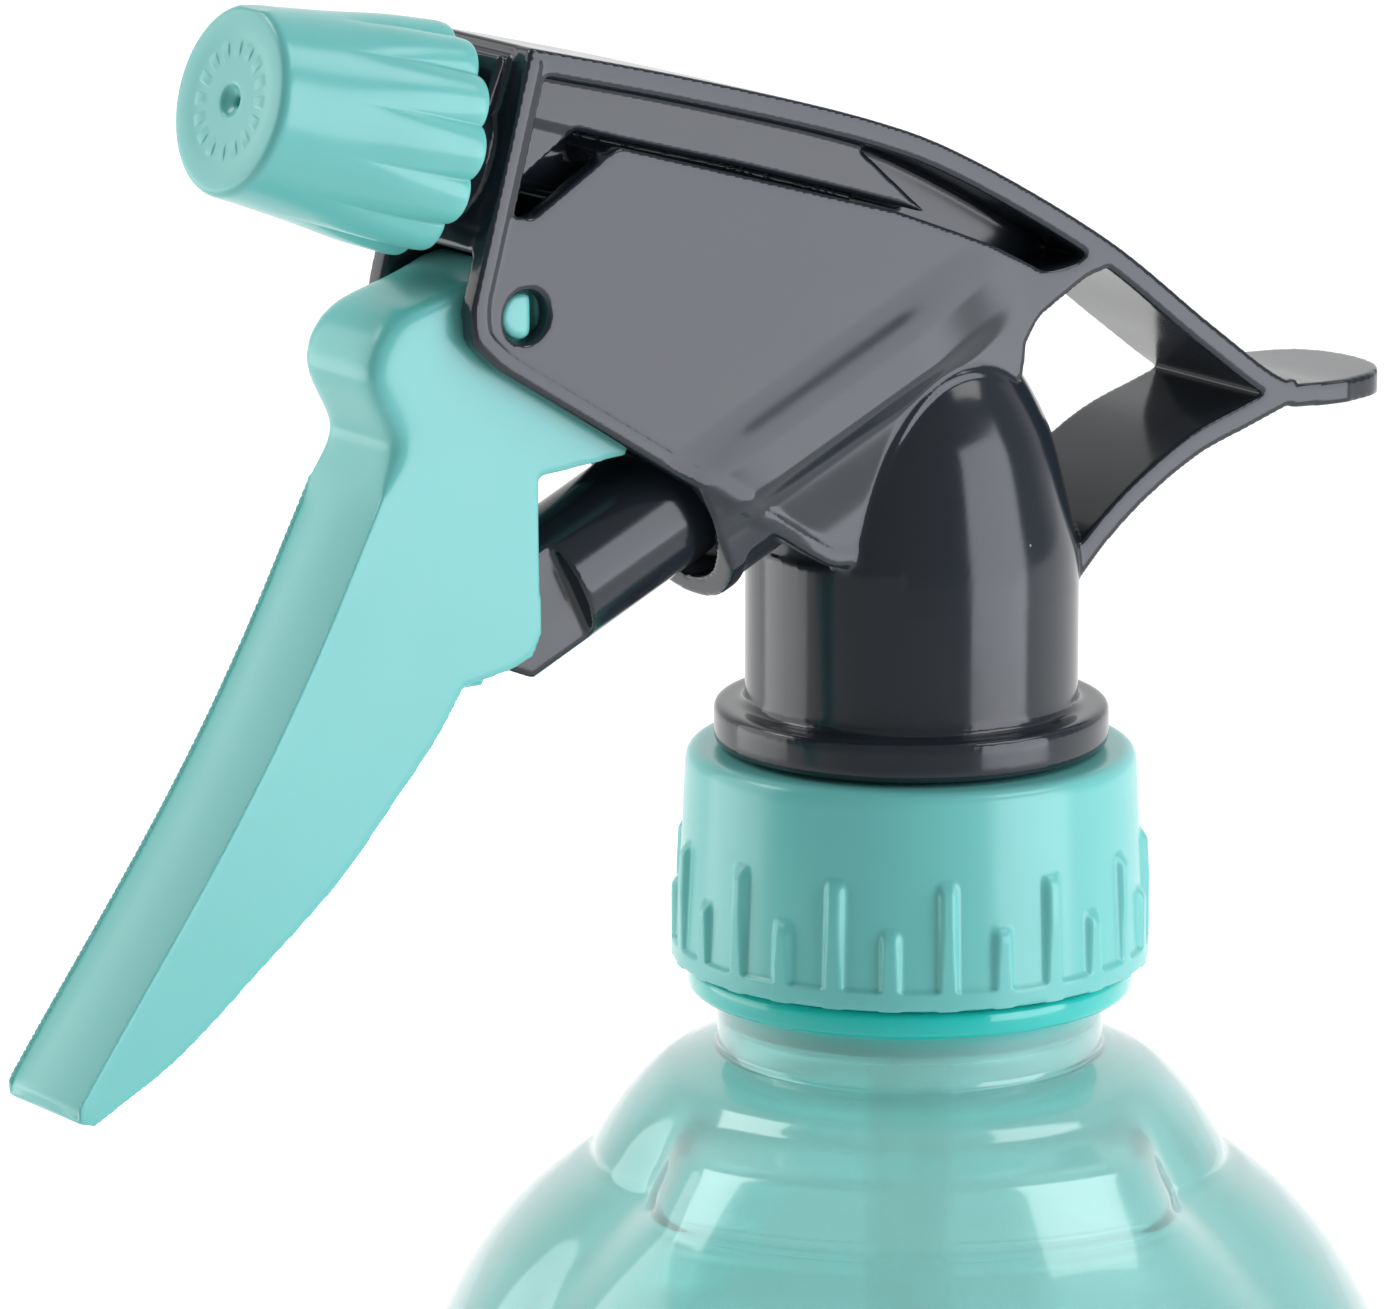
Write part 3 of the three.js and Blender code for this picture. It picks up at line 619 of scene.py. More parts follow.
def tail_plan():
    """The plan of the rounded tail, as a block that trims the straps."""
    square = TAIL_TIP - 6
    side = spline([[square, -BODY_HALF], [TAIL_TIP - 2.6, -5.6], [TAIL_TIP - 0.6, -3], [TAIL_TIP, 0]], 8)
    edge = np.vstack([[[-60, -BODY_HALF]], side, (side * [1, -1])[-2::-1], [[-60, BODY_HALF]]])
    rows = [np.column_stack([edge, np.full(len(edge), z)]) for z in (-5, 75)]
    return lofted(rows)


def eased(value, start, end):
    """Goes smoothly from 0 at start to 1 at end."""
    t = np.clip((value - start) / (end - start), 0, 1)
    return t * t * (3 - 2 * t)


def swell(piece):
    """Lifts the outer faces of the side plates over the pump cylinder, in a soft ridge along its axis."""
    points = read_points(piece)
    x, y, z = (points / MM).T
    x, z = x - PUMP_MOUTH[0], z - SEAT_HEIGHT - PUMP_MOUTH[2]
    along = x * PUMP_AXIS[0] + z * PUMP_AXIS[2]
    across = z * PUMP_AXIS[0] - x * PUMP_AXIS[2]
    upper_flank, lower_flank = eased(across, 6.2, 2.6), 1 - eased(across, -1.5, -7)
    crest = SWELL * upper_flank * (1 - 0.6 * eased(across, 0.2, -2.0)) * lower_flank
    ends = eased(along, -6, 6) * (1 - eased(along, 20, 32))
    on_face = eased(np.abs(y), 5.9, 6.4) * (1 - eased(np.abs(y), 6.95, 7.5))
    points[:, 1] += np.sign(y) * crest * ends * on_face * MM
    write_points(piece, points)


def pump_mouth():
    profile = [
        [0, 0], [PUMP_LIP_R, 0], [PUMP_LIP_R, 1.4], [PUMP_R, 1.9], [PUMP_R, PUMP_LENGTH], [0, PUMP_LENGTH],
    ]
    return on_pump(turned(rounded(profile, 0.3, closed=False)))


def plate_lip():
    """A thin raised edge along the front and the underside of a side plate, which ends inside the barrel."""
    edge = [[-38.0, 55.4], [-42.7, 38.2], [-42.5, 36], [-40.5, 34.1], [-14, 17.5], [-12, 16.3], [-6, 16]]
    return ribbon(rounded(edge, 2, closed=False), LIP_WIDTH, 1)


def trimmed(shape, trim):
    piece = mesh_object("trimmed", shape)
    return carve(piece, [("INTERSECT", trim)])


def shape_of(piece):
    """The vertices and faces of an object, back in millimetres, and the object is removed."""
    points = np.array([vertex.co for vertex in piece.data.vertices]) / MM
    points[:, 2] -= SEAT_HEIGHT
    faces = [tuple(polygon.vertices) for polygon in piece.data.polygons]
    bpy.data.objects.remove(piece)
    return points, faces


def block(x, y, z):
    """A box between pairs of limits."""
    return slab([[x[0], z[0]], [x[1], z[0]], [x[1], z[1]], [x[0], z[1]]], y[0], y[1])


def column():
    """The barrel's front, carried straight up to meet the pump cylinder."""
    front = block((-30, COLUMN_EDGE), (-20, 20), (-20, 20))
    return shape_of(trimmed(rod(BARREL_R, FLANGE_HEIGHT, COLUMN_TOP), front))


def pocket(y):
    """The hollow beside a side plate's foot, between two limits of y."""
    return shape_of(trimmed(rod(POCKET_R, 12.6, 17), block((-12.5, -8.2), y, (0, 20))))


def strap():
    return shape_of(trimmed(centred_slab(ribbon(STRAP_SPINE, STRAP_THICKNESS), BODY_HALF), tail_plan()))


def mouth():
    """The part of the pump cylinder that lies between the outer faces of the side plates."""
    return shape_of(trimmed(pump_mouth(), block((-60, 20), (-BODY_HALF, BODY_HALF), (-10, 60))))


def delivery_passage():
    way = NOZZLE_FACE - DELIVERY_END
    length = np.linalg.norm(way)
    return aimed(rod(DELIVERY_R, 0, length + 2), DELIVERY_END, way / length)


def spigot_thread():
    return on_nozzle(swept(helix(SPIGOT_THREAD_R - 0.5, 2, NOZZLE_LEAD, 2.5), 0.5))


def body_solids():
    """What is joined to the barrel, and what is cut from it on the way, in order."""
    outline = PLATE_FRONT + PLATE_UNDERSIDE + PLATE_REAR + PLATE_TOP + PLATE_NOTCH
    plate, lip = rounded(outline, MOULD_R), plate_lip()
    nozzle_wall = block((-BODY_HALF - 0.3, BODY_HALF + 0.3), (-BODY_HALF, BODY_HALF), (-1.8, 0))
    return [
        ("UNION", column()),
        ("UNION", slab(plate, -BODY_HALF, -PLATE_INNER)),
        ("UNION", slab(plate, PLATE_INNER, BODY_HALF)),
        ("DIFFERENCE", centred_slab(TRIGGER_SPACE, PLATE_INNER)),
        ("DIFFERENCE", turned([[0, -3], [BARREL_BORE_R, -3], *HOLLOW[::-1], [0, ROOM_TOP]])),
        ("UNION", slab(lip, -BODY_HALF - LIP_PROUD, -BODY_HALF + LIP_SUNK)),
        ("UNION", slab(lip, BODY_HALF - LIP_SUNK, BODY_HALF + LIP_PROUD)),
        ("UNION", strap()),
        ("UNION", centred_slab(ribbon(SPUR_SPINE, STRAP_THICKNESS), BODY_HALF)),
        ("UNION", on_nozzle(nozzle_wall)),
        ("UNION", centred_slab(WEB, WEB_HALF)),
        ("UNION", centred_slab(ROOF, BODY_HALF - 0.4)),
        ("UNION", centred_slab(GUSSET, GUSSET_HALF)),
        ("UNION", centred_slab(RIDGE, RIDGE_HALF)),
        ("UNION", centred_slab(CORNER_FILL, BODY_HALF - 0.6)),
        ("UNION", mouth()),
        ("UNION", on_nozzle(rod(DELIVERY_TUBE_R, -34, -0.5))),
        ("UNION", on_nozzle(rod(SPIGOT_R, -1, SPIGOT_LENGTH))),
        ("UNION", spigot_thread()),
        ("UNION", rod(FEED_TUBE_R, 3.3, 22)),
    ]


def body_holes():
    """Pockets, bores and passages, from the inlet to the nozzle."""
    return [
        pocket((-12, -POCKET_FACE)),
        pocket((POCKET_FACE, 12)),
        on_pump(rod(PUMP_BORE_R, -1, PUMP_BORE_END)),
        on_pump(rod(PUMP_PORT_R, PUMP_BORE_END - 1, PUMP_LENGTH + 1)),
        rod(PLUG_R, 3, 8.3),
        rod(FEED_R, 3, DELIVERY_END[2]),
        delivery_passage(),
        on_nozzle(rod(SPIGOT_BORE_R, 1.5, SPIGOT_LENGTH + 1)),
        slab(circle(PIVOT[[0, 2]], PIVOT_HOLE_R), -BODY_HALF - 1, BODY_HALF + 1),
    ]


def spray_body():
    body = mesh_object("spray_body_shell", barrel())
    carve(body, body_solids() + [("DIFFERENCE", hole) for hole in body_holes()])
    mould(body, voxel=0.22, rounds=5)
    swell(body)
    dress(body, "head", "spray_body", SLATE)


# ---------- trigger ----------
HUMP = [
    [-44.5, 38.9], [-48.1, 37.7], [-50.1, 35.6], [-50.5, 33.2], [-49.2, 30.4], [-48.4, 28.5], [-49.6, 25.7],
]
TRIGGER_FRONT = [[-49.6, 25.7], [-56.4, 12.8], [-63.3, 1.8], [-72.8, -11.4], [-75.5, -15.2]]
TRIGGER_TIP = [-75.4, -16.4]
TRIGGER_REAR = [
    [-74, -16.8], [-67.1, -13], [-60.4, -7.8], [-53.7, -2.3], [-48.6, 3.2], [-45.2, 7.1], [-42.9, 10.5],
]
TRIGGER_BACK = [[-38.6, 11.3], [-36.9, 12], [-36.2, 13.6], [-36.4, 25], [-28.8, 25.7], [-28.4, 29]]
TRIGGER_CROWN_R = 3.2
CHANNEL = [
    [-46.4, 25.2], [-53.6, 13.2], [-60.6, 2], [-66.5, -6.4], [-62, -12], [-30, -4], [-22, 20], [-22, 34.5],
    [-43.5, 34.5], [-46.6, 30],
]
FRONT_NORMAL = np.array([-0.845, 0, 0.535])
FRONT_CROWN = 0.45
PUSHER = [[-53.8, 10.2], [-40.5, 10.2], [-42, 16.8], [-51, 16.8]]


def trigger_outline():
    """The lever's outline, which passes round its pivot at the top."""
    crown = circle(PIVOT[[0, 2]], TRIGGER_CROWN_R, 40)[4:13]
    front, rear = spline(TRIGGER_FRONT, 6), spline(TRIGGER_REAR, 6)
    return np.vstack([spline(HUMP, 6)[:-1], front, [TRIGGER_TIP], rear, TRIGGER_BACK, crown])


def boss_ramp(side, reach):
    """The slanting cut on the rear half of a pivot boss, which lets it snap into its hole."""
    ramp = [[0.6, reach + 0.2], [0.6, reach], [2.4, reach - 2.6], [2.4, reach + 0.2]]
    rows = [[[PIVOT[0] + x, side * y, PIVOT[2] + z] for x, y in ramp] for z in (-2.5, 2.5)]
    return lofted(rows)


def hump_weight(points):
    """1 on the lever's rounded shoulder, falling to 0 away from it."""
    x, _, z = points.T
    return eased(z, 24.5, 29) * eased(x, -40, -44)


def soften(piece, weight, rounds):
    """Smooths part of a mesh. weight gives 0 to 1 for each of its points, in millimetres."""
    weights = weight(read_points(piece) / MM - [0, 0, SEAT_HEIGHT])
    group = piece.vertex_groups.new(name="soft")
    for level in range(1, 11):
        members = np.nonzero(np.round(weights * 10) == level)[0]
        group.add(members.tolist(), level / 10, "REPLACE")
    smooth = piece.modifiers.new("soften", "SMOOTH")
    smooth.factor = 0.5
    smooth.iterations = rounds
    smooth.vertex_group = group.name
    settle(piece)
    piece.vertex_groups.clear()


def crown_front(lever):
    """Gives the lever's front face a slight crown from side to side."""
    points = read_points(lever)
    facing = eased(read_points(lever, "normal") @ FRONT_NORMAL, 0.5, 0.9)
    facing = facing * eased(points[:, 2] / MM - SEAT_HEIGHT, 27, 23)
    drop = FRONT_CROWN * (points[:, 1] / MM / TRIGGER_HALF) ** 2 * facing
    points -= np.outer(drop * MM, FRONT_NORMAL)
    write_points(lever, points)


def finger_lever():
    lever = mesh_object("finger_lever", centred_slab(trigger_outline(), TRIGGER_HALF))
    reach = BODY_HALF - 0.6
    carve(lever, [
        ("DIFFERENCE", centred_slab(CHANNEL, TRIGGER_INNER)),
        ("UNION", centred_slab(PUSHER, TRIGGER_INNER + 0.5)),
        ("UNION", slab(circle(PIVOT[[0, 2]], PIVOT_HOLE_R - GAP), -reach, reach)),
    ])
    for side in (-1, 1):
        carve(lever, [("DIFFERENCE", boss_ramp(side, reach))])
    mould(lever, voxel=0.25, rounds=6)
    crown_front(lever)
    soften(lever, hump_weight, rounds=160)
    dress(lever, "trigger", "trigger", AQUA)


# ---------- collar ----------
COLLAR_BOTTOM = -16.3
COLLAR_TOP = -GAP
COLLAR_R = 17.78
COLLAR_BORE_R = 14.9
COLLAR_HOLE_R = 11.2
COLLAR_ROOF = 1.7
COLLAR_SIDE_R = 16
RIB_COUNT = 26
RIB_STEPS = 24
RIB_START = math.radians(-6.4)
RIB_R = 17.6
RIB_PROUD = 0.6
TALL_RIB, SHORT_RIB = 8.2, 4.7
PROFILE_STEP = 0.25


def thread_bump(angle, height, low, lead, turns, section, sign):
    """Height of a round thread ridge over a cylinder at each angle and height."""
    turn = np.mod(angle, 2 * np.pi) / (2 * np.pi)
    best = np.zeros_like(angle * height)
    for k in range(int(turns) + 1):
        centre = low + lead * (turn + k)
        inside = (turn + k) <= turns
        off = np.clip(1 - ((height - centre) / section) ** 2, 0, None)
        fade = np.clip((turns - turn - k) * 8, 0, 1) * np.clip((turn + k) * 8, 0, 1)
        best = np.maximum(best, np.where(inside, np.sqrt(off) * section * fade, 0))
    return sign * best


def collar_profile():
    """The collar's section, from the top of its hole round the outside and back up the inside."""
    crown = [[COLLAR_HOLE_R, COLLAR_TOP], [16.7, COLLAR_TOP], [17.4, COLLAR_BOTTOM + 1.6]]
    band = [[17.45, COLLAR_BOTTOM + 1.5], [COLLAR_R, COLLAR_BOTTOM + 1.3], [COLLAR_R, COLLAR_BOTTOM]]
    band = [*band, [COLLAR_BORE_R, COLLAR_BOTTOM]]
    outside = np.vstack([rounded(crown, 1.2, closed=False), rounded(band, 0.35, closed=False)])
    roof = COLLAR_TOP - COLLAR_ROOF
    inside = [[COLLAR_BORE_R, roof], [COLLAR_HOLE_R, roof], [COLLAR_HOLE_R, COLLAR_TOP]]
    return resampled(np.vstack([outside, inside]), PROFILE_STEP)


def ribbed_collar():
    profile = collar_profile()
    angles = np.linspace(0, 2 * np.pi, RIB_COUNT * RIB_STEPS, endpoint=False)
    radius, height = profile[:, 0][:, None], profile[:, 1][:, None]
    outer = (np.arange(len(profile)) < outer_end(profile, COLLAR_BOTTOM))[:, None]
    rib = rib_height(angles[None, :], height) * outer
    proud = np.where(rib > 0, np.minimum(COLLAR_R, radius + rib) - radius, 0)
    proud = np.where(outer & (radius > COLLAR_SIDE_R), proud, 0)
    thread = thread_bump(angles[None, :], height, COLLAR_BOTTOM + 2, THREAD_LEAD, THREAD_TURNS, 0.8, -1)
    thread = np.where((~outer) & (np.abs(radius - COLLAR_BORE_R) < SAME), thread, 0)
    collar = mesh_object("ribbed_collar", revolved(radius + proud + thread, height, angles))
    dress(collar, "collar", "collar", AQUA)


def rib_height(angles, height):
    """How far the ribs stand out: tall and short ribs by turns, with rounded tops and soft flanks."""
    pitch = 2 * np.pi / RIB_COUNT
    place_on = (angles - RIB_START) / pitch
    index = np.round(place_on)
    off = np.abs(place_on - index) * pitch * RIB_R
    top = COLLAR_BOTTOM + 1.2 + np.where(np.mod(index, 2) == 0, TALL_RIB, SHORT_RIB)
    across = 1 - eased(off, 0.3, 0.95)
    along = np.clip((top - height) / 0.8, 0, 1)
    return RIB_PROUD * across * along**0.5


def resampled(profile, step):
    """The same profile with its points no further apart than step."""
    result = [profile[0]]
    for start, end in zip(profile, profile[1:]):
        count = max(1, int(np.ceil(np.linalg.norm(end - start) / step)))
        for i in range(1, count + 1):
            result.append(start + (end - start) * i / count)
    return np.array(result)


def revolved(radius, height, angles):
    """A turned shape whose radius and height may vary round it. Its last row repeats its first."""
    across, along = radius * np.cos(angles), radius * np.sin(angles)
    rows = np.stack([across, along, np.broadcast_to(height, radius.shape)], axis=2)
    return lofted(rows[:-1], closed=True)


def outer_end(profile, low):
    """Index of the first point after the outside has reached its lowest edge."""
    return int(np.argmax(profile[:, 1] <= low + 1e-6))


# ---------- nozzle cap ----------
CAP_LOBES = 12
LOBE_STEPS = 32
CAP_BORE_R = 6.3
CAP_SIDE_R = 6.9  # the fluted side is outside this radius
FLUTE_DEPTH = 0.95
FLUTE_LENGTH = 11.5
ORIFICE_R = 0.35
MARK_RING_R = 3.7
MARK_HEIGHT = 0.07


def cap_profile():
    """The cap's section, from its rear edge round the outside, in through the orifice and back."""
    rear_edge = [[CAP_BORE_R, CAP_REAR], [8.35, CAP_REAR], [8.4, CAP_REAR + 1]]
    side = [[8.38, CAP_REAR + 1.4], [8.1, 8], [7.5, 12.5], [7, 17]]
    face = [
        [6.95, 17.6], [6.8, CAP_FRONT], [5.2, CAP_FRONT], [4.2, CAP_FRONT - 0.12], [1.2, CAP_FRONT - 0.15],
        [0.9, CAP_FRONT - 0.5], [ORIFICE_R, CAP_FRONT - 0.8], [ORIFICE_R, CAP_FRONT - 2],
    ]
    inside = [
        [3.6, CAP_FRONT - 2], [5.8, 16.6], [5.9, 15.4], [CAP_BORE_R, 13], [6.65, 13], [6.65, 11],
        [CAP_BORE_R, 11], [CAP_BORE_R, CAP_REAR],
    ]
    edge, face = rounded(rear_edge, 0.5, closed=False), rounded(face, 1.3, closed=False)
    return resampled(np.vstack([edge, spline(side, 8), face, inside]), PROFILE_STEP)


def fluted_cap():
    profile = cap_profile()
    angles = np.linspace(0, 2 * np.pi, CAP_LOBES * LOBE_STEPS, endpoint=False)
    radius, height = profile[:, 0][:, None], profile[:, 1][:, None]
    fade = np.clip(1 - (height - CAP_REAR) / FLUTE_LENGTH, 0, 1) ** 1.3
    lobes = np.abs(np.cos(CAP_LOBES / 2 * angles[None, :])) ** 0.7 - 0.98
    on_side = np.clip((radius - CAP_SIDE_R) / 0.8, 0, 1)
    r = radius + FLUTE_DEPTH * lobes * fade * on_side
    z = height + raised_marks(r, angles[None, :], height)
    cap = mesh_object("fluted_cap", on_nozzle(revolved(r, z, angles)))
    dress(cap, "nozzle", "nozzle_cap", AQUA)


def raised_marks(radius, angles, height):
    """A ring of plain raised dashes on the front face."""
    ring = np.clip(1 - np.abs(radius - MARK_RING_R) / 0.55, 0, 1)
    dash = (np.sin(16 * angles) > -0.2) * 1.0
    on_face = (height > CAP_FRONT - 0.6) & (radius < 5)
    return np.where(on_face, MARK_HEIGHT * np.minimum(1, ring * 2.5) * dash, 0)


# ---------- bottle ----------
FINISH_TOP = -5.9
FINISH_R = 12.65
FINISH_BORE_R = 10.9
NECK_R = 14.4
RING_R = 16.6
NECK_JOIN = -23.3
NECK_WALL = 1
WALL = 0.9
NEAR_CENTRE = 0.05
BOTTLE_SIDES = 420
GROOVED_FROM = 15  # the radius outside which the bottle has its grooves and cells
VIEW_ANGLE = math.radians(-125)  # the middle of the front cell
CELL_HALF_ANGLE = 60


def bottle_silhouette():
    """The outside of the bottle from the base's edge to the neck, through its rows of cells."""
    body = []
    for low, high in ((-121, -103.5), (-103.5, -86), (-86, -68.5)):
        body += [[43.6, low], [44.75, low + 3], [44.95, (low + high) / 2], [44.75, high - 3]]
    shoulder = [
        [43.2, -68.5], [43.6, -65.5], [42.9, -60.5], [41, -55.5], [38.2, -51.6], [37.0, -50.5], [36.6, -48.4],
        [34.3, -43.2], [31.6, -38.9], [28.6, -35.5], [25.6, -33], [23.9, -31.9], [23.3, -30.6], [21.3, -27.6],
        [18.9, -25.1], [17, -24.1], [15.4, -23.5],
    ]
    foot = [[38, BASE], [41.5, BASE + 0.8], [43.8, BASE + 3.2], [44.8, BASE + 7.5], [44.6, BASE + 10.5]]
    return spline(foot + body + shoulder, 6)


def off_front(angles):
    """Degrees from the nearer of the bottle's front and back."""
    turned_by = np.degrees(angles - VIEW_ANGLE)
    return 90 - np.abs(np.mod(turned_by, 180) - 90)


def column_groove(angles, height):
    """Depth of the upright grooves between the wide cells and the narrow ones."""
    groove = np.exp(-(((off_front(angles) - CELL_HALF_ANGLE) / 9) ** 2))
    fade = np.clip((-24.6 - height) / 5, 0, 1) * np.clip((height - BASE - 4) / 8, 0, 1)
    return 1.1 * groove * fade


def cell_crown(angles, height, silhouette):
    """How far a wide cell's top bulges out of the shoulder, below its arched upper edge."""
    crown = spline([[37.2, -50.5], [36.9, -48], [34.7, -43], [31.9, -38.2], [29, -34], [26.4, -30.8],
                    [23.9, -28], [22.6, -26.9], [20.6, -25.6]], 8)
    base = np.interp(height, silhouette[:, 1], silhouette[:, 0])
    bulge = np.interp(height, crown[:, 1], crown[:, 0]) - base
    below_edge = eased(height, -25.6, -28.2) * (height > -50)
    return bulge * below_edge * (1 - eased(off_front(angles), 38, CELL_HALF_ANGLE))


def neck_profile():
    """The neck from the shoulder up the outside, over the finish and down the inside."""
    outside = [
        [NECK_R, NECK_JOIN + 0.1], [NECK_R, RING_BOTTOM], [RING_R, RING_BOTTOM + 0.2], [RING_R, RING_TOP],
        [FINISH_R, RING_TOP], [FINISH_R, FINISH_TOP],
    ]
    inside = [
        [FINISH_BORE_R, FINISH_TOP], [FINISH_BORE_R, RING_BOTTOM], [NECK_R - NECK_WALL, RING_BOTTOM - 2],
        [NECK_R - NECK_WALL, NECK_JOIN - 0.6],
    ]
    return rounded(outside + inside, 0.5, closed=False)


def inner_wall(silhouette):
    """The silhouette moved in by the wall's thickness, from the neck down to the base."""
    along = np.gradient(silhouette, axis=0)
    along /= np.linalg.norm(along, axis=1)[:, None]
    inner = (silhouette - WALL * np.stack([along[:, 1], -along[:, 0]], axis=1))[::-1]
    return inner[(inner[:, 1] > BASE + 1.2) & (inner[:, 1] < NECK_JOIN - 1.2)]


def bottle_profile(silhouette):
    """The bottle's section: the hollow base, the outside, the neck, the inside and the base's upper face."""
    under = [[NEAR_CENTRE, BASE + 1.8], [20, BASE + 1.2], [34, BASE + 0.6], [36.5, BASE]]
    over = [[36.5, BASE + 1.3], [34, BASE + 1.7], [20, BASE + 2.3], [NEAR_CENTRE, BASE + 2.9], under[0]]
    return resampled(np.vstack([under, silhouette, neck_profile(), inner_wall(silhouette), over]), 0.5)


def quilted_bottle():
    silhouette = bottle_silhouette()
    shoulder = silhouette[silhouette[:, 1] > -60]
    profile = bottle_profile(silhouette)
    angles = np.linspace(0, 2 * np.pi, BOTTLE_SIDES, endpoint=False)
    radius, height = profile[:, 0][:, None], profile[:, 1][:, None]
    groove = np.where(radius > GROOVED_FROM, column_groove(angles[None, :], height), 0)
    crown = np.where(radius > GROOVED_FROM, cell_crown(angles[None, :], height, shoulder), 0)
    thread_low = FINISH_TOP - 2 - THREAD_LEAD * THREAD_TURNS
    thread = thread_bump(angles[None, :], height, thread_low, THREAD_LEAD, THREAD_TURNS, 0.85, 1)
    thread = np.where(np.abs(radius - FINISH_R) < SAME, thread, 0)
    r = radius - groove * np.clip(radius / 30, 0, 1) + thread + crown
    bottle = mesh_object("quilted_bottle", revolved(r, height, angles))
    dress(bottle, "bottle", "bottle", CLEAR)


# ---------- piston and inner pieces ----------
def pump_point(along, across):
    """The (x, z) of a point given along and across the pump's axis."""
    x = PUMP_MOUTH[0] + along * PUMP_AXIS[0] - across * PUMP_AXIS[2]
    return [x, PUMP_MOUTH[2] + along * PUMP_AXIS[2] + across * PUMP_AXIS[0]]


def tongue_outline():
    """The rod's flat end, rounded where the lever's pusher meets it."""
    root = FLAT_START + 1.4
    outline = [
        [root, ROD_R], [ROD_END + 1.8, ROD_R], [ROD_END - 0.6, 2.2], [ROD_END - 2.2, 0],
        [ROD_END - 0.6, -2.2], [ROD_END + 2, -ROD_R], [root, -ROD_R],
    ]
    return rounded([pump_point(*point) for point in outline], 1.2)


def piston_rod():
    vent_groove = [[ROD_R, 1.6], [4.4, 1.6], [4.4, 3.4], [ROD_R, 3.4]]
    cup_groove = [[ROD_R, 5.8], [5.6, 5.8], [5.6, 6.2], [4.6, 6.2], [4.6, 9], [5.6, 9], [5.6, 9.6]]
    spring_bore = [[3.7, 9.6], [3.7, -4], [0, -4]]
    profile = [[0, FLAT_START], [ROD_R, FLAT_START], *vent_groove, *cup_groove, *spring_bore]
    flats = centred_slab(tongue_outline(), ROD_FLAT)
    tongue = trimmed(on_pump(rod(ROD_R, ROD_END - 3, FLAT_START + 1)), flats)
    piston = mesh_object("piston_rod", on_pump(turned(profile)))
    carve(piston, [("UNION", shape_of(tongue))])
    mould(piston, voxel=0.2, rounds=2)
    dress(piston, "piston", "piston", SLATE)


def ring_piece(name, node, body, profile, material, aim=None):
    """A turned inner piece with softened edges."""
    edge = rounded(profile, 0.25, 3)
    shape = turned(np.vstack([edge, edge[:1]]), 96)
    piece = mesh_object(name, aim(shape) if aim else shape)
    dress(piece, body, node, material, SHARP)


def dip_tube():
    """A tube with its lower end cut slantwise, so that it can't seal itself on the base."""
    low, high = BASE + 5, -3
    wall = [[TUBE_BORE_R, low], [TUBE_R, low], [TUBE_R, high], [TUBE_BORE_R, high], [TUBE_BORE_R, low]]
    pipe = mesh_object("suction_tube", turned(wall, 64))
    carve(pipe, [("DIFFERENCE", centred_slab([[-4, low - 1], [4, low - 1], [4, low + 4], [-4, low]], 4))])
    dress(pipe, "head", "dip_tube", TUBE, SHARP)


def seal_profile(inner, low, high):
    """A seal round the piston that widens towards the pump's far end."""
    return [[inner, low], [5.55, low], [6.15, high - 0.6], [6.15, high], [inner, high]]


def neck_gasket():
    profile = [[10, -5.6], [12.6, -5.6], [12.6, -4.2], [10, -4.2]]
    ring_piece("neck_gasket_ring", "neck_gasket", "seal", profile, NATURAL)


def moving_seals():
    cup, lip = seal_profile(4.9, 6.5, 8.7), seal_profile(4.7, 1.9, 3.1)
    hoop = circle((5.95, 12), 0.6, 24)
    ring_piece("piston_cup_seal", "piston_cup", "piston", cup, NATURAL, on_pump)
    ring_piece("vent_lip_seal", "vent_seal", "piston", lip, RUBBER, on_pump)
    ring_piece("cap_sealing_ring", "nozzle_oring", "nozzle_seal", hoop, RUBBER, on_nozzle)


def valve_plug():
    """The plug in the barrel's foot: the inlet's spigot, a skirt, a flange and the dip tube's socket."""
    spigot = [[1.2, 3], [2.35, 3], [2.35, 8], [3, 8], [3, -1.2]]
    skirt = [[7.8, -1.2], [7.8, 3], [9.2, 3], [9.2, -2.3]]
    flange = [[12.6, -2.3], [12.6, -3.9], [4.6, -3.9]]
    socket = [[4.6, -13], [3.3, -13], [3.3, -2.7], [1.2, -2.7]]
    profile = [*spigot, *skirt, *flange, *socket]
    ring_piece("valve_seat_plug", "valve_seat", "head", profile, NATURAL)


def swirl_plug():
    """A plug with three slots along it that set the water turning."""
    profile = [[0, 10.4], [2.2, 10.4], [2.6, 11.2], [2.6, 15.6], [2.2, 16], [0, 16]]
    core = mesh_object("swirl_plug", on_nozzle(turned(profile, 64)))
    points, faces = block((1.8, 3.4), (-0.35, 0.35), (8, 18))
    slots = []
    for i in range(SWIRL_SLOTS):
        turn = np.array(Matrix.Rotation(2 * math.pi * i / SWIRL_SLOTS, 3, "Z"))
        slots.append(("DIFFERENCE", on_nozzle((points @ turn.T, faces))))
    carve(core, slots)
    dress(core, "head", "swirl_core", NATURAL, SHARP)


def sphere(radius, centre):
    steps = np.linspace(0, np.pi, 25)
    profile = np.stack([radius * np.sin(steps), centre - radius * np.cos(steps)], axis=1)
    profile[0, 0] = profile[-1, 0] = 0
    return turned(profile, 48)


def check_balls():
    inlet = mesh_object("inlet_check_ball", sphere(1.9, 4.6))
    dress(inlet, "inlet_ball", "inlet_ball", STEEL)
    outlet = mesh_object("outlet_check_ball", on_nozzle(sphere(1.8, 2.85)))
    dress(outlet, "outlet_ball", "outlet_ball", STEEL)


def coil(name, node, aim, path, wire, anchor):
    """A wire coil on an axis. The anchor, a place along that axis, is turned into the frame's metres but not
    used.
    """
    piece = mesh_object(name, swept(aim((path, []))[0], wire, 10))
    dress(piece, "head", node, STEEL)
    anchor_m = place(aim((np.array([[0, 0, anchor]]), []))[0])[0]
    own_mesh(piece)


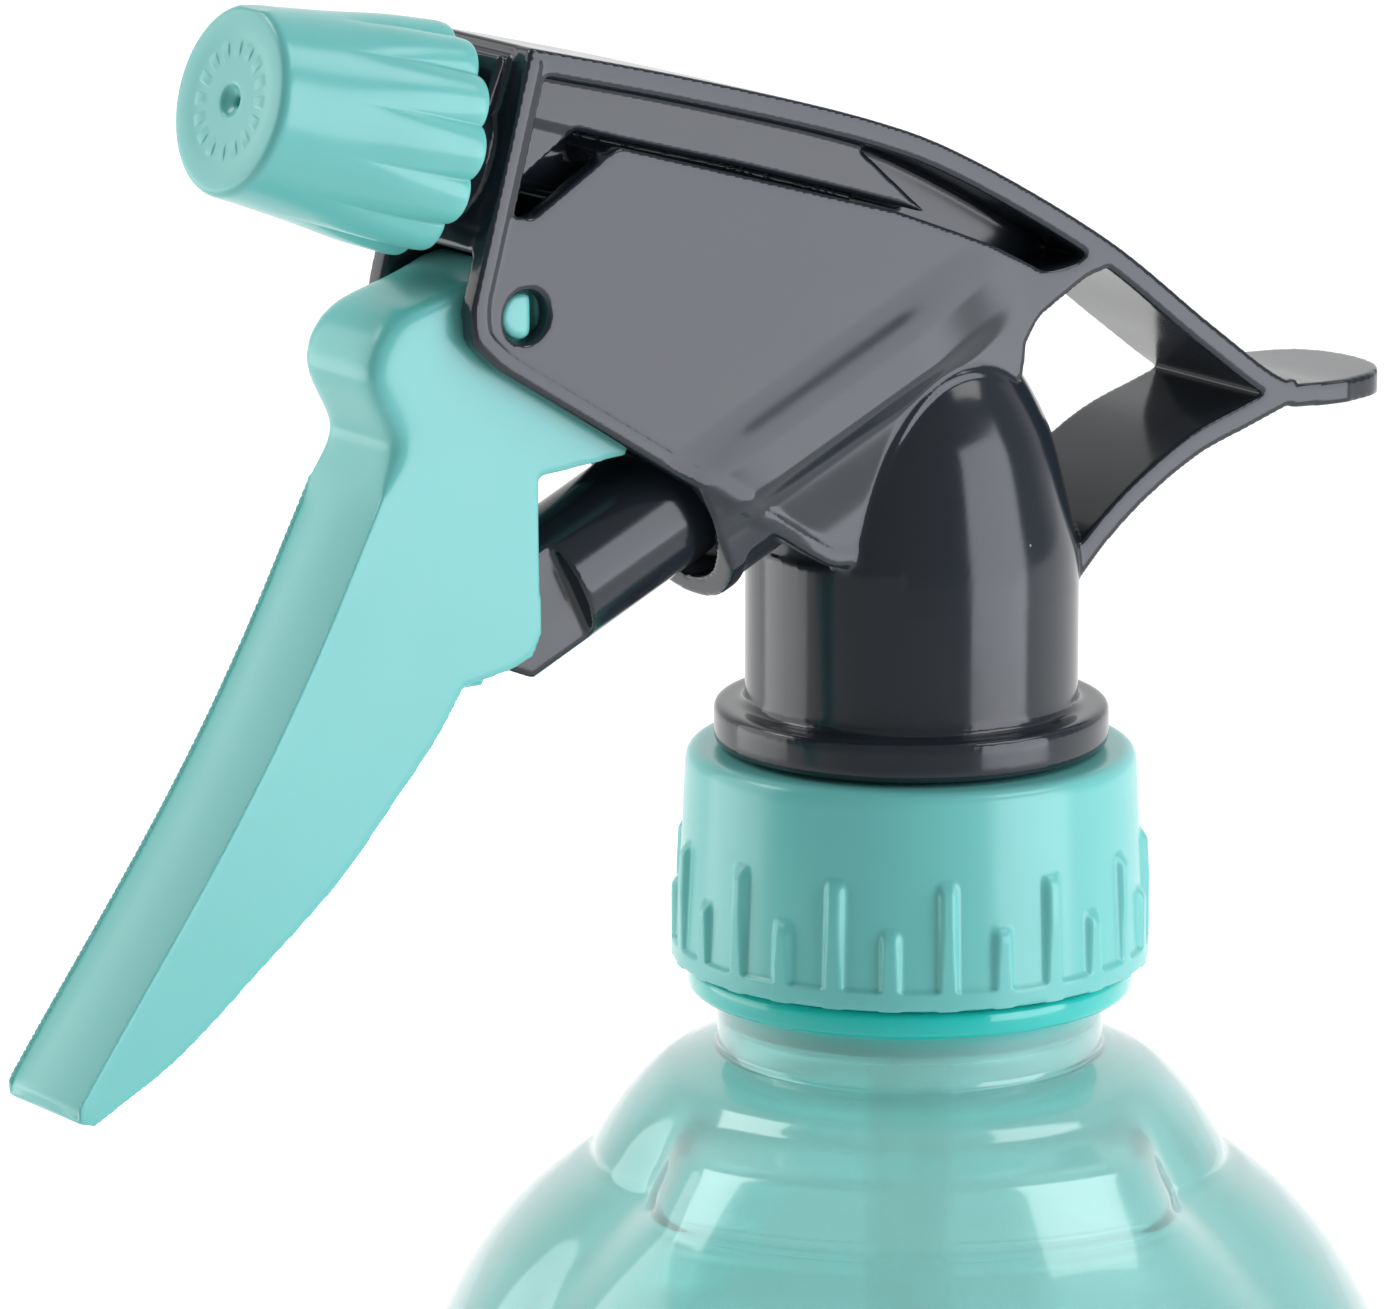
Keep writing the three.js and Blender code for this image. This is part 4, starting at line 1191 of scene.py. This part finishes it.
def springs():
    pump_path, valve_path = helix(3, -3.2, 3.2, 7.9), helix(1.9, 5.2, 1.2, 4)
    coil(
        "return_spring_coil", "return_spring", on_pump, pump_path, wire=0.4,
        anchor=22.5,
    )
    coil(
        "outlet_spring_coil", "outlet_spring", on_nozzle, valve_path, wire=0.2,
        anchor=10.3,
    )


# ---------- camera, floor and light ----------
AZIMUTH, ELEVATION, DISTANCE = math.radians(35), math.radians(13), 700.0
FOCAL = 244.7
SHIFT_RIGHT, SHIFT_UP = -16.10, 6.21  # from the head's seat to the middle of the view
SENSOR = 36
FLOOR_R = 6000
FLOOR_SIDES = 96
SOFTBOX_DISTANCE, SOFTBOX_LOW = 0.5, 0.005  # the lamps' places and sizes are in metres
SOFTBOX_SPREAD = 44  # how wide a softbox looks from the object, in degrees
OVERHEAD_HEIGHT, OVERHEAD_SIZE = 0.8, 0.42


def camera():
    level = math.cos(ELEVATION)
    back = np.array([-math.sin(AZIMUTH) * level, -math.cos(AZIMUTH) * level, math.sin(ELEVATION)])
    right = np.array([math.cos(AZIMUTH), -math.sin(AZIMUTH), 0.0])
    up = np.cross(back, right)
    data = bpy.data.cameras.new("camera")
    data.lens = FOCAL
    data.sensor_width = SENSOR
    data.clip_start = 0.01
    data.clip_end = 20
    viewer = linked("camera", data)
    spot = DISTANCE * back + SHIFT_RIGHT * right + SHIFT_UP * up
    matrix = Matrix(np.column_stack([right, up, back]).tolist()).to_4x4()
    matrix.translation = Vector(place([spot])[0])
    viewer.matrix_world = matrix
    bpy.context.scene.camera = viewer


def floor():
    """A pale floor with a painted glow: it glows softly behind the object and fades to painted shade towards
    the camera, which darkens what the object reflects on that side.
    """
    edge = circle((0, 0), FLOOR_R, FLOOR_SIDES)
    points = np.column_stack([edge, np.full(FLOOR_SIDES, BASE)])
    ground = mesh_object("floor", (points, [tuple(range(FLOOR_SIDES))]))
    material, tree, shader = nodes_of("floor_with_painted_glow")
    turned_round = tree.nodes.new("ShaderNodeVectorRotate")
    turned_round.rotation_type = "Z_AXIS"
    turned_round.inputs["Angle"].default_value = -VIEW_ANGLE
    tree.links.new(coordinates(tree), turned_round.inputs["Vector"])
    split = tree.nodes.new("ShaderNodeSeparateXYZ")
    tree.links.new(turned_round.outputs["Vector"], split.inputs["Vector"])
    # painted light: the floor's glow is strong behind the object and drops to painted shade towards the
    # camera
    glow = mapped(tree, split.outputs["X"], 1.0, 0.2, -0.25, 0.6, "SMOOTHSTEP")
    tree.links.new(glow, shader.inputs["Emission Strength"])
    shader.inputs["Base Color"].default_value = (0.25, 0.25, 0.25, 1)
    shader.inputs["Roughness"].default_value = 0.8
    shader.inputs["Emission Color"].default_value = (1, 1, 1, 1)
    ground.data.materials.append(material)


def panel(name, width, height, radiance, centre):
    """A flat panel of light that the camera doesn't see."""
    data = bpy.data.lights.new(name, "AREA")
    data.shape = "RECTANGLE"
    data.size = width
    data.size_y = height
    data.energy = radiance * math.pi * width * height
    lamp = linked(name, data)
    lamp.location = centre
    lamp.visible_camera = False
    return lamp


def level_direction(angle):
    return Vector((math.cos(angle), math.sin(angle), 0))


def softbox(name, azimuth, high, radiance, tint=(1, 1, 1)):
    """An upright panel facing the object, so many degrees round from the front cell."""
    direction = level_direction(math.radians(azimuth) + VIEW_ANGLE)
    width = 2 * SOFTBOX_DISTANCE * math.tan(math.radians(SOFTBOX_SPREAD / 2))
    centre = direction * SOFTBOX_DISTANCE + Vector((0, 0, (SOFTBOX_LOW + high) / 2))
    lamp = panel(name, width, high - SOFTBOX_LOW, radiance, centre)
    lamp.data.color = tint
    lamp.rotation_mode = "QUATERNION"
    lamp.rotation_quaternion = direction.to_track_quat("Z", "Y")


def overhead(name, ahead, right, radiance):
    """A level panel above the object, ahead and right of it as the camera sees it."""
    toward, aside = level_direction(VIEW_ANGLE), level_direction(VIEW_ANGLE + math.pi / 2)
    centre = toward * ahead + aside * right + Vector((0, 0, OVERHEAD_HEIGHT))
    panel(name, OVERHEAD_SIZE, OVERHEAD_SIZE, radiance, centre)


def lamps():
    """Panels of light, in metres and degrees."""
    softbox("right_softbox", azimuth=62, high=0.44, radiance=3.4, tint=(0.96, 0.98, 1.06))
    softbox("left_softbox", azimuth=-100, high=0.5, radiance=1.6)
    overhead("right_overhead", ahead=0.06, right=0.52, radiance=3.4)
    overhead("left_overhead", ahead=-0.16, right=-0.62, radiance=4.2)


def backdrop_glow():
    """The surroundings: brightest behind the object as the camera sees it."""
    world = bpy.data.worlds.new("studio")
    bpy.context.scene.world = world
    world.use_nodes = True
    tree = world.node_tree
    sky = tree.nodes["Background"]
    sky.inputs["Color"].default_value = (1, 1, 1, 1)
    backdrop = tree.nodes.new("ShaderNodeVectorMath")
    backdrop.operation = "DOT_PRODUCT"
    backdrop.inputs[1].default_value = (-math.cos(VIEW_ANGLE), -math.sin(VIEW_ANGLE), 0)
    tree.links.new(tree.nodes.new("ShaderNodeTexCoord").outputs["Generated"], backdrop.inputs[0])
    glow = mapped(tree, backdrop.outputs["Value"], 0.25, 1.0, 0.3, 0.92)
    tree.links.new(glow, sky.inputs["Strength"])


camera()
spray_body()
finger_lever()
ribbed_collar()
fluted_cap()
quilted_bottle()
piston_rod()
dip_tube()
neck_gasket()
valve_plug()
moving_seals()
swirl_plug()
check_balls()
springs()
floor()
lamps()
backdrop_glow()
bpy.context.scene.view_settings.view_transform = "Standard"
